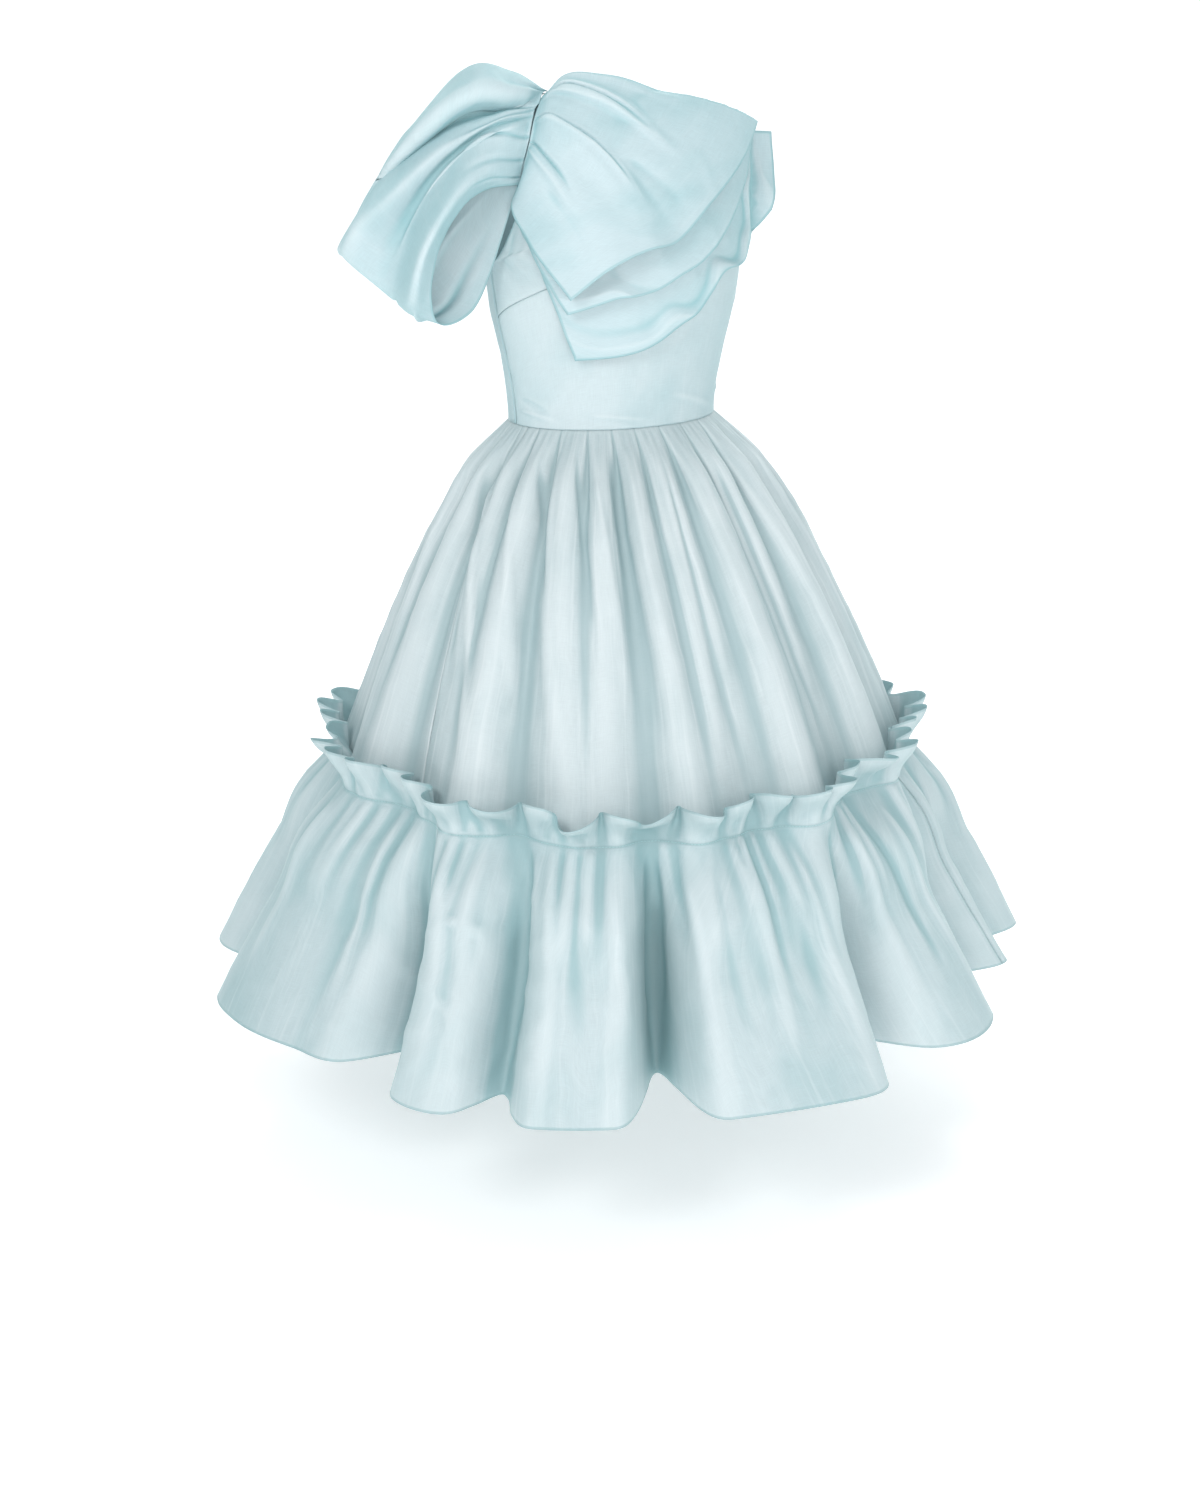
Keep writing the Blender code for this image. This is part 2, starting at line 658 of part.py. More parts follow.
def flounce_point(angle, along):
    """Point on the flounce: 0 at the stitch line, 1 at the hem, -1 at the heading's top."""
    down = np.clip(along, 0.0, None)
    up = np.clip(-along, 0.0, None)
    a = np.radians(angle + heading_spread(angle) * up)
    base = tier_point(angle, np.ones_like(a))
    wave = np.cos(wandering(angle, RUFFLES, RUFFLE_WANDER))
    ruffle = 0.5 + 0.5 * wave + 0.22 * (wave - wave ** 3) * ease(up)
    gathered = RUFFLE_AT_STITCH + (RUFFLE_BELOW - RUFFLE_AT_STITCH) * ease(down / GATHER_OPEN)
    gathered = gathered * (1 - ease((down - GATHER_OPEN) / GATHER_FADE))
    gathered = gathered * (0.65 + 0.35 * np.cos(wandering(angle, GATHER_GROUPS, RUFFLE_WANDER)))
    gathered = gathered + RUFFLE_IN_HEADING * ease(up)
    seat = SKIRT_WALL * SEAT_SLOPE + SEAM_GAP
    puff = GATHER_PUFF * np.sin(np.pi * np.clip(down / 0.5, 0, 1)) ** 2
    start = np.hypot(base[..., 0] - FLOUNCE_MIDDLE_X, base[..., 1])
    depth = np.clip((HEM_CREST - read_round(HEM_FOLDS, angle)) / HEM_DEPTH, 0.0, 1.3)
    hem = HEM_CREST - HEM_DEPTH * depth ** VALLEY_SHARPNESS
    radius = start + seat + ruffle * gathered + puff + (HEM_MEAN - start) * down
    radius = radius + (hem - HEM_MEAN) * (1.5 * down - 0.5 * down ** 3)
    lean = np.radians(flap_lean(angle)) * ease(up * 1.2)
    high = HEADING * up * (1 - HEADING_DIP * ease(0.5 - 0.5 * wave))
    radius = radius + high * np.sin(lean)
    z = base[..., 2] + FLOUNCE_DROP * down + high * np.cos(lean)
    z = z + HEM_WAVE * ease((down - 0.6) / 0.4) * np.cos(5 * a + 1.0)
    return point(FLOUNCE_MIDDLE_X + radius * np.sin(a), -radius * np.cos(a), z)


TIER_ROWS = (0.0, 0.05, 0.14, 0.30, 0.52, 0.76, 1.0)
FLOUNCE_ROWS = (-1.0, -0.5, 0.0, 0.10, 0.28, 0.50, 0.75, 1.0)


def flounce_panel(first, last):
    def surface(u, v):
        radius = STITCH_RADIUS + (HEM_RADIUS - STITCH_RADIUS) * np.clip(v, 0, 1)
        return flounce_point(trimmed(first, last, u, radius), v)
    return surface


def add_skirt(cloth, flounce_cloth):
    spans = {
        "skirt_front": (TIER_SEAMS[0], TIER_SEAMS[1]),
        "skirt_back_left": (TIER_SEAMS[1], TIER_SEAMS[2]),
        "skirt_back_right": (TIER_SEAMS[2] - 360.0, TIER_SEAMS[0]),
    }
    for name, (first, last) in spans.items():
        columns = even(round((last - first) / TIER_COLUMN))
        wall(name, tier_panel(first, last), columns, TIER_ROWS, SKIRT_WALL, cloth)
    spans = {
        "flounce_front": (FLOUNCE_SEAMS[0], FLOUNCE_SEAMS[1]),
        "flounce_left": (FLOUNCE_SEAMS[1], FLOUNCE_SEAMS[2]),
        "flounce_right": (FLOUNCE_SEAMS[2] - 360.0, FLOUNCE_SEAMS[0]),
    }
    for name, (first, last) in spans.items():
        columns = even(round((last - first) / FLOUNCE_COLUMN))
        wall(name, flounce_panel(first, last), columns, FLOUNCE_ROWS, SKIRT_WALL, flounce_cloth)


# Bow

def pinch_point(share, height):
    """Point above the strap along the bow's pinch seam."""
    rows = np.asarray(PINCH)
    x, z = np.moveaxis(weights(even(len(rows) - 1), share) @ rows, -1, 0)
    return off_body(angle_at(x, z), z, height)


def layer_surface(name, tree):
    """A fan of cloth from the pinch seam to its far edge over the chest."""
    edges = {key: np.array(rows) / 1000.0 for key, rows in LAYER_EDGES[name].items()}
    low, high, low_far, high_far = LAYER_BANDS[name]
    root = pinch_point(even(5), low) + np.array([PINCH_GAP, 0.0, 0.0])
    upper = np.vstack([root[:1], edges["upper"], edges["far"][:1]])
    lower = np.vstack([root[-1:], edges["lower"], edges["far"][-1:]])
    seam = pinch_point(even(24), low) + np.array([PINCH_GAP, 0.0, 0.0])

    def surface(u, v):
        u1 = u[..., None]
        v1 = v[..., None]
        flat = ((1 - v1) * route(upper, u) + v1 * route(lower, u)
                + (1 - u1) * route(root, v) + u1 * route(edges["far"], v)
                - (1 - u1) * (1 - v1) * root[0] - u1 * (1 - v1) * edges["far"][0]
                - (1 - u1) * v1 * root[-1] - u1 * v1 * edges["far"][-1])
        lift = layer_lift(name, u, v)[..., None] * np.array(FOLD_WAY)
        away = np.linalg.norm(flat[..., None, :] - seam, axis=-1).min(axis=-1)
        share = ease(away / BAND_REACH)
        free = BAND_FREEDOM * np.clip(flat[..., 0] - BAND_FREE_X, 0.0, None)
        return held_between(tree, flat + lift, low + (low_far - low) * share,
                            high + (high_far - high) * share + free)
    return surface


def layer_lift(name, u, v):
    """How far a layer's folds and its soft bulge stand out."""
    inside = np.sin(np.pi * np.clip(u, 0, 1)) * np.sin(np.pi * np.clip(v, 0, 1))
    lift = LAYER_BULGE[name] * inside
    for at_root, at_far, near, far in LAYER_FOLDS[name]:
        line = at_root + (at_far - at_root) * u
        shape = np.exp(-((v - line) / FOLD_WIDTH) ** 2)
        lift = lift + (near + (far - near) * ease(u)) * shape * ease(u / 0.12)
    return lift


def loop_grid():
    """Ribs of the draped loop, each with its root and its end on the strap."""
    ribs = []
    for share, places in LOOP_RIBS:
        on_strap = np.array(max(share, 0.0))
        root = pinch_point(on_strap, LOOP_ROOT) - np.array([PINCH_GAP, 0.0, 0.0])
        end = pinch_point(on_strap, LOOP_END) - np.array([PINCH_GAP + 0.003, 0.0, 0.0])
        if share < 0:
            behind = body_point(*np.array(LOOP_BEHIND))
            root = behind + np.array([0.0, 0.0, LOOP_ROOT])
            end = behind + np.array([-0.003, 0.002, LOOP_END])
        ribs.append(np.vstack([root, np.array(places) / 1000.0, end]))
    return np.array(ribs)


def loop_lift(u, v):
    """How far the loop's overlapping folds stand out, on its outer ply."""
    lift = np.zeros(np.broadcast(u, v).shape)
    for at_strap, at_turn, height, soft, steep in LOOP_LIPS:
        off = v - at_strap - (at_turn - at_strap) * u / LOOP_KEYS[4]
        width = np.where(off * soft > 0, abs(soft), abs(steep))
        lift = lift + height * np.exp(-np.abs(off / width) ** 1.6)
    return lift * ease(u / 0.10) * ease((LOOP_KEYS[5] - u) / 0.20)


def loop_surface(tree):
    """The loop's cloth, from its root out over the arm, round the turn and back under."""
    grid = loop_grid()

    def smooth(u, v):
        along = weights(LOOP_KEYS, u)
        across = weights(LOOP_RIB_PLACES, v)
        return np.einsum("...k,...l,klc->...c", across, along, grid)

    def surface(u, v):
        free = smooth(u, v) + normals(smooth, u, v) * loop_lift(u, v)[..., None]
        outer_ply = ease((LOOP_KEYS[5] - u) / 0.1)
        keep = LOOP_END + (LOOP_ROOT - LOOP_END) * outer_ply
        return held_between(tree, free, keep, 1.0)
    return surface


def add_bow(cloth):
    tree = skin_tree()
    for name in LAYER_EDGES:
        wall(name, layer_surface(name, tree), even(11), even(12), BOW_WALL, cloth)
    columns = even(26) - LOOP_CROWDING * np.sin(2 * np.pi * even(26))
    wall("bow_loop", loop_surface(tree), columns, even(16), BOW_WALL, cloth)


# Zip

def back_frame():
    """Seat of the slider on the centre back: a point, the way up the cloth, the way out."""
    angle, z = np.array(-BACK), np.array(SLIDER_Z)
    seat = body_point(angle, z)
    out = -normals(body_point, angle, z)
    up = np.cross(out, np.array([-1.0, 0.0, 0.0]))
    return seat, up / np.linalg.norm(up), out


def on_back(x, up_cloth, out_of_cloth):
    """Place from the slider's seat: across the back, up the cloth and out of it."""
    seat, up, out = back_frame()
    across = np.array([1.0, 0.0, 0.0])
    return seat + across * x + up * up_cloth + out * out_of_cloth


def zip_surface(u, v):
    """Outer face of the closed teeth, behind the back seam and on down into the tier."""
    share = np.clip(v, 0.0, None)
    z = ZIP_TOP_Z + (WAIST_Z - ZIP_TOP_Z) * np.clip(1.0 + v, 0.0, 1.0)
    back = np.full_like(z, BACK)
    upper = off_body(back, z, -(BODICE_WALL + ZIP_CLEAR))
    lower = tier_point(back, share)
    lower = lower - normals(tier_point, back, share) * (SKIRT_WALL + 3 * ZIP_CLEAR)
    path = np.where((v > 0.0)[..., None], lower, upper)
    waist = np.exp(-(v / 0.04) ** 2)
    return point(ZIP_TAPE * (0.5 - u), path[..., 1] - 2 * ZIP_CLEAR * waist, path[..., 2])


def prism(name, outline, low, high, place, finish):
    """A solid with the outline as its section, from low to high along its third way."""
    count = len(outline)
    points = [place(a, b, low) for a, b in outline] + [place(a, b, high) for a, b in outline]
    faces = [tuple(range(count)), tuple(reversed(range(count, 2 * count)))]
    for i in range(count):
        j = (i + 1) % count
        faces.append((i, i + count, j + count, j))
    thing = add_object(name, points, faces, finish, smooth=False)
    turn_outwards(thing.data)
    return thing


def turn_outwards(mesh):
    work = bmesh.new()
    work.from_mesh(mesh)
    bmesh.ops.recalc_face_normals(work, faces=work.faces)
    work.to_mesh(mesh)
    work.free()


def joined(thing, other, operation):
    """Give a solid a Boolean with another, which is kept only as a hidden guide."""
    other.hide_render = True
    other.display_type = "WIRE"
    cut = thing.modifiers.new(operation.lower(), "BOOLEAN")
    cut.object = other
    cut.operation = operation
    cut.solver = "EXACT"


def add_zip(metal, tape):
    rows = np.concatenate([even(9) - 1.0, TIER_ROWS[1:4]])
    wall("zip_teeth", zip_surface, even(1), rows, ZIP_THICK, tape)
    inside = -(BODICE_WALL + SLIDER_CLEAR)
    above = SLIDER_CLEAR
    face = above + SLIDER_PLATE
    wide = SLIDER_HALF_WIDE
    plates = [
        (-wide, above), (-wide, face), (wide, face),
        (wide, above), (NECK_HALF, above), (NECK_HALF, inside), (wide, inside),
        (wide, inside - SLIDER_PLATE), (-wide, inside - SLIDER_PLATE), (-wide, inside),
        (-NECK_HALF, inside), (-NECK_HALF, above),
    ]
    slider = prism("zip_slider", plates, -SLIDER_HALF_LONG, SLIDER_HALF_LONG,
                   lambda a, b, along: on_back(a, along, b), metal)
    long, high, thick = BRIDGE_HALF_LONG, BRIDGE_HIGH, BRIDGE_THICK
    root = face - SLIDER_PLATE / 2
    arch = [
        (-long, root), (-long, face + high - thick), (-long + thick, face + high),
        (long - thick, face + high), (long, face + high - thick), (long, root),
        (long - thick, root), (long - thick, face + high - thick),
        (-long + thick, face + high - thick), (-long + thick, root),
    ]
    bridge = prism("zip_bridge_guide", arch, -BRIDGE_HALF_WIDE, BRIDGE_HALF_WIDE,
                   lambda a, b, along: on_back(along, a, b), metal)
    joined(slider, bridge, "UNION")
    add_pull(metal, face + PIN_HEIGHT)


def add_pull(metal, height):
    """Pull tab: a pin under the slider's bridge, two arms and a rounded plate."""
    top, low, half = PIN_HALF_LONG, -PULL_LONG, PULL_HALF_LOW
    outline = [(-PULL_HALF_TOP, top), (PULL_HALF_TOP, top), (PULL_HALF_TOP, -PULL_SLOT_LONG)]
    outline += [(half * math.cos(a), low + half + half * math.sin(a))
                for a in np.radians(np.linspace(0, -180, 9))]
    outline += [(-PULL_HALF_TOP, -PULL_SLOT_LONG)]
    thick = PULL_THICK / 2
    pull = prism("zip_pull", outline, height - thick, height + thick,
                 lambda a, b, out: on_back(a, b, out), metal)
    inner = PULL_HALF_TOP - PULL_ARM
    slot = [(-inner, -PIN_HALF_LONG), (inner, -PIN_HALF_LONG), (inner, -PULL_SLOT_LONG),
            (-inner, -PULL_SLOT_LONG)]
    cutter = prism("pull_slot_guide", slot, height - 2 * thick, height + 2 * thick,
                   lambda a, b, out: on_back(a, b, out), metal)
    joined(pull, cutter, "DIFFERENCE")


def main():
    for thing in list(bpy.data.objects):
        bpy.data.objects.remove(thing, do_unlink=True)
    bodice = material("bodice_cloth", MINT, 0.5)
    skirt = material("skirt_cloth", MINT_GREY, 0.5)
    flounce = material("flounce_cloth", MINT, 0.5)
    bow = material("bow_cloth", MINT, 0.45)
    tape = material("zip_tape", MINT, 0.7)
    metal = material("zip_metal", STEEL, 0.3, metallic=1.0)
    add_bodice(bodice)
    add_skirt(skirt, flounce)
    add_bow(bow)
    add_zip(metal, tape)


main()
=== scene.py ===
"""Looks of the midi gown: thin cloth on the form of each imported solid, its folds and
creases, hems, stitches and zip, with a pale studio around it.

Frame: metres, +Z up, the front faces -Y and +X is the wearer's left. Every surface is
worked out about the body's upright axis and moved to the gown's origin when built.
"""
import math

import bpy
import numpy as np
from bpy.props import FloatProperty, PointerProperty
from bpy.types import Operator, Panel, PropertyGroup
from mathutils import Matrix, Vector
from mathutils.bvhtree import BVHTree
from mathutils.kdtree import KDTree


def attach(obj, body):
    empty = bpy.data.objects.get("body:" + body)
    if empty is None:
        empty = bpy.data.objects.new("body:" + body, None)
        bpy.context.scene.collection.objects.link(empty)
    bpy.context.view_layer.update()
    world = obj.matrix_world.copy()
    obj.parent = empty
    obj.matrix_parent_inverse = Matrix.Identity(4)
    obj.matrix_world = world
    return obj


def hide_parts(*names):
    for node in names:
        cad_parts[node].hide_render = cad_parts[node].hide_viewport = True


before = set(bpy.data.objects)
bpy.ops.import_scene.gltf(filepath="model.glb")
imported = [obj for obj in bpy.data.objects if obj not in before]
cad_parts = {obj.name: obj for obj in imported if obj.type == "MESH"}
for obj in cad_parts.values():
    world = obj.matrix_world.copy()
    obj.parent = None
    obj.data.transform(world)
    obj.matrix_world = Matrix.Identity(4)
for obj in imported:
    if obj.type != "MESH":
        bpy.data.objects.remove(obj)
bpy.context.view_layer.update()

bl_info = {
    "name": "Midi gown",
    "version": (1, 0, 0),
    "blender": (4, 5, 0),
    "location": "3D View > Sidebar > Gown",
    "description": "Builds a one-shoulder midi gown with a bow, a pleated skirt and a flounce",
    "category": "Object",
}

# Driving sizes, in metres and degrees
SHOULDER_X = -0.110          # the strap's resting place, from the body's axis
WAIST_Z = -0.385             # waist seam, below the shoulder
STITCH_Z = -0.826            # line where the flounce is gathered on
HEM_Z = -1.099
BODICE_WALL = 0.0015
SKIRT_WALL = 0.0012
SEAM_GAP = 0.0003
SIDE = 90.0                  # angle of the side seams, from the front
BACK = 180.0
BODICE_RADIUS = 0.105        # radii by which a seam's gap is turned into an angle
WAIST_RADIUS = 0.110
STITCH_RADIUS = 0.350
HEM_RADIUS = 0.500

# Body under the bodice: height, half width, depth to the front, depth to the back
TORSO = (
    (0.000, 0.175, 0.000, 0.000),
    (-0.001, 0.175, 0.022, 0.020),
    (-0.008, 0.175, 0.045, 0.040),
    (-0.030, 0.174, 0.078, 0.072),
    (-0.070, 0.172, 0.099, 0.093),
    (-0.110, 0.170, 0.112, 0.102),
    (-0.150, 0.168, 0.121, 0.106),
    (-0.190, 0.166, 0.127, 0.107),
    (-0.220, 0.163, 0.126, 0.106),
    (-0.254, 0.158, 0.119, 0.103),
    (-0.300, 0.147, 0.108, 0.099),
    (-0.345, 0.138, 0.101, 0.098),
    (WAIST_Z, 0.134, 0.098, 0.098),
)
SHOULDER_DROP = 0.014        # how far the strap's outer edge lies below its inner one
DROP_ENDS_Z = -0.110
DROP_STARTS_X = 0.110        # the strap lies level as far out as the origin
STRAP_OUTER_X = 0.152
SHOULDER_SEAM_Z = -0.00010   # front and back stop just short of the shoulder's ridge
SKIN_COLUMNS = 121           # facets of the surface that the bow is held clear of
SKIN_ROWS = 70

# Upper front: armhole edge height and distance from the axis, neckline edge likewise
UPPER_FRONT = (
    (SHOULDER_SEAM_Z, -0.152, SHOULDER_SEAM_Z, -0.098),
    (-0.008, -0.151, -0.008, -0.097),
    (-0.030, -0.148, -0.026, -0.091),
    (-0.070, -0.147, -0.055, -0.076),
    (-0.110, -0.151, -0.085, -0.050),
    (-0.150, -0.159, -0.118, -0.008),
    (-0.190, -0.166, -0.150, 0.050),
    (-0.222, -0.166, -0.178, 0.112),
    (-0.254, -0.166, -0.205, 0.166),
)
# Bust seam: angle round the body, height
BUST_SEAM = (
    (-90.0, -0.254), (-65.0, -0.226), (-52.0, -0.212), (-30.0, -0.200), (0.0, -0.192),
    (45.0, -0.195), (90.0, -0.205),
)
# Right back: armhole and side edge, then neckline and centre back edge
RIGHT_BACK = (
    (SHOULDER_SEAM_Z, -0.152, SHOULDER_SEAM_Z, -0.098),
    (-0.008, -0.151, -0.008, -0.097),
    (-0.030, -0.150, -0.028, -0.085),
    (-0.070, -0.151, -0.062, -0.058),
    (-0.110, -0.157, -0.092, -0.024),
    (-0.150, -0.164, -0.115, 0.000),
    (-0.190, -0.170, -0.165, 0.000),
    (-0.250, -0.170, -0.232, 0.000),
    (-0.318, -0.170, -0.310, 0.000),
    (WAIST_Z, -0.170, WAIST_Z, 0.000),
)
# Neckline of the left back: angle round the body, height
LEFT_BACK_NECK = (
    (90.0, -0.205), (110.0, -0.186), (135.0, -0.160), (160.0, -0.134), (180.0, -0.115),
)

# Skirt tier: share of the way down, half width, half depth, ring centre in x and y
TIER = (
    (0.00, 0.134, 0.098, 0.000, 0.000),
    (0.06, 0.157, 0.121, 0.001, 0.000),
    (0.18, 0.192, 0.158, 0.003, 0.000),
    (0.36, 0.237, 0.208, 0.006, 0.000),
    (0.58, 0.283, 0.262, 0.010, 0.000),
    (0.80, 0.323, 0.309, 0.014, 0.000),
    (1.00, 0.353, 0.348, 0.016, 0.000),
)
# Folds at the tier's lower edge: angle of a crest or a valley, its height
TIER_FOLDS = (
    (-165.0, 0.014), (-148.0, -0.012), (-128.0, 0.016), (-112.0, -0.010), (-97.0, 0.014),
    (-77.0, -0.014), (-62.0, 0.016), (-52.0, -0.008), (-37.0, 0.014), (-25.0, -0.010),
    (-15.0, 0.008), (-2.0, -0.014), (9.0, 0.010), (27.0, -0.030), (42.0, 0.002), (52.0, -0.012),
    (70.0, 0.018), (88.0, -0.012), (106.0, 0.014), (123.0, -0.012), (142.0, 0.016),
    (160.0, -0.012), (180.0, 0.002),
)
# Pleats let into the waist seam: angle of the groove where each one ends
PLEAT_GROOVES = (-171.0, -157.0, -141.0, -126.0, -111.0, -97.0, -82.0, -67.0, -52.0, -36.5, -23.5,
                 -11.0, 3.5, 18.0, 33.0, 49.0, 66.0, 84.0, 103.0, 123.0, 145.0, 168.0)
PLEAT_HEIGHT = 0.019
GROOVE_ROUNDING = 0.25       # 0 gives grooves with a sharp bottom
PLEAT_OPEN = 0.14            # share of the tier by which the pleats have opened
PLEAT_LEFT = 0.30            # what is left of them at the tier's lower edge
FOLD_GAIN = 1.15             # how far the folds below exceed their table
FOLD_GROWTH = 0.9
# Seams of the tier and of the flounce, as angles from the front
TIER_SEAMS = (-76.8, 88.8, 180.0)
FLOUNCE_SEAMS = (-67.2, 52.8, 180.0)
HEM_MEAN = 0.505             # usual distance of the hem from the axis
HEM_CREST = 0.540
HEM_DEPTH = 0.120
VALLEY_SHARPNESS = 1.6       # above 1, valleys are narrower than crests
FLOUNCE_MIDDLE_X = 0.016     # the flounce hangs a little to the wearer's left

# Big folds at the hem: angle of a crest or a valley, its distance from the axis
HEM_FOLDS = (
    (-170.0, 0.525), (-158.0, 0.530), (-147.0, 0.452), (-138.0, 0.526), (-126.0, 0.530),
    (-114.0, 0.448), (-103.0, 0.520), (-92.0, 0.524), (-80.0, 0.495), (-73.0, 0.480),
    (-67.0, 0.415), (-60.0, 0.515), (-53.0, 0.520), (-48.0, 0.445), (-42.0, 0.532),
    (-31.0, 0.535), (-24.5, 0.405), (-18.0, 0.530), (-8.0, 0.540), (5.0, 0.515), (13.5, 0.400),
    (21.0, 0.465), (35.0, 0.485), (46.0, 0.420), (54.0, 0.480), (60.5, 0.448), (69.0, 0.525),
    (80.0, 0.535), (90.0, 0.450), (99.0, 0.525), (110.0, 0.530), (120.0, 0.452), (129.0, 0.520),
    (139.0, 0.526), (148.0, 0.455), (158.0, 0.526), (170.0, 0.530), (180.0, 0.462),
)
RUFFLES = 45                 # gathers at the flounce's stitch line
RUFFLE_WANDER = ((3, 0.9, 0.3), (5, 0.6, 1.9), (8, 0.45, 5.1))
GATHER_GROUPS = 11           # stretches round the flounce with stronger gathers
RUFFLE_AT_STITCH = 0.005
RUFFLE_BELOW = 0.009
GATHER_OPEN = 0.12           # share of the flounce by which the gathers have opened
GATHER_FADE = 0.42           # share over which they then run out
HEM_WAVE = 0.006             # slow rise and fall of the hem
RUFFLE_IN_HEADING = 0.016
RUFFLE_SPREAD = 0.90         # degrees that a ruffle's front widens at the heading's top
SPREAD_FROM_SEAM = 4.0       # degrees from a seam over which that widening sets in
HEADING = 0.055              # cloth standing above the stitch line
HEADING_DIP = 0.15           # share by which its edge dips between the ruffles
HEADING_LEAN = 4.0
HEADING_SWAY = 5.0
# Heading flaps that fall outwards: angle, half width, how far they lean
FLAPS = (
    (-62.5, 3.6, 18.0), (-53.0, 4.0, 30.0), (-39.0, 4.6, 38.0), (-26.5, 4.0, 46.0),
    (-13.5, 4.6, 26.0), (3.0, 4.0, 22.0), (17.0, 4.4, 12.0), (33.0, 4.0, 24.0), (96.0, 4.6, 34.0),
    (137.0, 5.0, 30.0), (171.0, 4.0, 36.0), (-158.0, 4.8, 32.0), (-108.0, 4.2, 28.0),
)
GATHER_PUFF = 0.010
SEAT_SLOPE = 1.90            # a slanting wall takes up more than its thickness

# Pinch seam of the bow on the strap: distance from the axis, height
PINCH = (
    (-0.100, -0.001), (-0.112, -0.006), (-0.127, -0.018), (-0.141, -0.045), (-0.148, -0.075),
    (-0.150, -0.094),
)
# Height of each layer over the body: least and most at the pinch, least and most far out
LAYER_BANDS = {
    "bow_layer_top": (0.0069, 0.0400, 0.0270, 0.2000),
    "bow_layer_middle": (0.0050, 0.0058, 0.0160, 0.0235),
    "bow_layer_under": (0.0022, 0.0030, 0.0050, 0.0125),
}
BAND_REACH = 0.110
BAND_FREE_X = 0.166          # past the layers above, a layer may stand off further
BAND_FREEDOM = 2.0
LOOP_ROOT = 0.0078           # height of the loop's outer ply at the pinch
LOOP_END = 0.0048            # and of its inner ply
PINCH_GAP = 0.0014           # the layers' roots from the loop's, along the strap

# Bow layers over the chest: upper edge, far edge and lower left edge, in millimetres
LAYER_EDGES = {
    "bow_layer_top": {
        "upper": ((-85, -30, 24), (-42, -60, 26), (26, -76, 5), (108, -71, -23)),
        "far": ((160, -60, -36), (117, -90, -75), (53, -130, -121), (-10, -156, -162),
                (-50, -162, -167), (-92, -157, -184), (-131, -130, -221)),
        "lower": ((-170, -60, -115), (-162, -84, -156)),
    },
    "bow_layer_middle": {
        "upper": ((-85, -28, 17), (-42, -55, 17), (26, -66, -3), (108, -61, -31)),
        "far": ((166, -50, -43), (120, -84, -112), (52, -122, -180), (-17, -142, -214),
                (-82, -137, -227), (-129, -116, -242)),
        "lower": ((-166, -56, -112), (-151, -74, -170)),
    },
    "bow_layer_under": {
        "upper": ((-85, -25, 10), (-42, -48, 8), (26, -56, -12), (108, -51, -40)),
        "far": ((196, -48, -49), (191, -63, -109), (150, -83, -187), (72, -125, -217),
                (46, -127, -247), (-29, -126, -289), (-109, -100, -300)),
        "lower": ((-162, -52, -110), (-138, -72, -190)),
    },
}
LAYER_BULGE = {"bow_layer_top": 0.012, "bow_layer_middle": 0.005, "bow_layer_under": 0.003}
# Folds of each layer: place across the fan at its root and far edge, height at each
LAYER_FOLDS = {
    "bow_layer_top": ((0.15, 0.30, 0.014, 0.000), (0.46, 0.66, 0.009, 0.003)),
    "bow_layer_middle": ((0.35, 0.62, 0.003, 0.007), (0.60, 0.84, 0.002, 0.004)),
    "bow_layer_under": ((0.12, 0.20, 0.002, 0.010), (0.28, 0.34, 0.002, 0.010),
                        (0.42, 0.49, 0.002, 0.010), (0.62, 0.70, 0.002, 0.009)),
}
FOLD_WIDTH = 0.055
FOLD_WAY = (0.10, -0.80, 0.55)       # way in which the layers' folds stand out

# Draped loop over the right arm, rib by rib from the front rim over to the back rim:
# where its root lies on the pinch, then its cloth out, round the turn and back, in mm
LOOP_KEYS = (0.0, 0.16, 0.32, 0.45, 0.54, 0.62, 0.74, 0.88, 1.0)
LOOP_RIBS = (
    (1.00, ((-203, -60, -97), (-246, -76, -118), (-273, -74, -164), (-276, -62, -212),
            (-262, -47, -246), (-222, -38, -246), (-188, -34, -205))),
    (0.80, ((-209, -76, -76), (-264, -90, -106), (-300, -86, -165), (-304, -66, -214),
            (-292, -40, -236), (-252, -22, -222), (-214, -24, -160))),
    (0.54, ((-192, -44, -40), (-244, -34, -82), (-278, -20, -134), (-304, -12, -180),
            (-312, -2, -209), (-283, 2, -196), (-246, -4, -140))),
    (0.36, ((-180, -46, -18), (-252, -36, -54), (-308, -16, -106), (-342, 4, -142),
            (-348, 22, -172), (-300, 24, -166), (-256, 12, -110))),
    (0.24, ((-163, -22, -6), (-210, -14, -10), (-256, 2, -44), (-306, 22, -98),
            (-334, 44, -158), (-298, 42, -150), (-254, 26, -96))),
    (0.12, ((-163, -42, 8), (-212, -42, 8), (-258, -18, -28), (-296, 20, -84),
            (-324, 56, -150), (-290, 54, -142), (-248, 36, -88))),
    (0.00, ((-132, 8, 28), (-182, 16, 34), (-226, 34, -10), (-270, 58, -72),
            (-306, 78, -150), (-280, 68, -146), (-244, 48, -90))),
    (-0.30, ((-150, 46, 12), (-200, 62, -8), (-244, 84, -54), (-272, 98, -112),
             (-280, 100, -184), (-256, 84, -176), (-224, 62, -108))),
)
LOOP_BEHIND = (-134.0, -0.008)       # angle and height where its last rib meets the back
LOOP_RIB_PLACES = (0.0, 0.17, 0.36, 0.47, 0.57, 0.64, 0.80, 1.0)
# Folds of the loop that lie over the next one: place across the ribs at the strap and at
# the turn, how far the fold stands out, its soft and its steep side as shares of the ribs
LOOP_LIPS = (
    (0.40, 0.34, 0.0100, -0.13, 0.030),
    (0.55, 0.60, 0.0110, 0.16, -0.030),
)

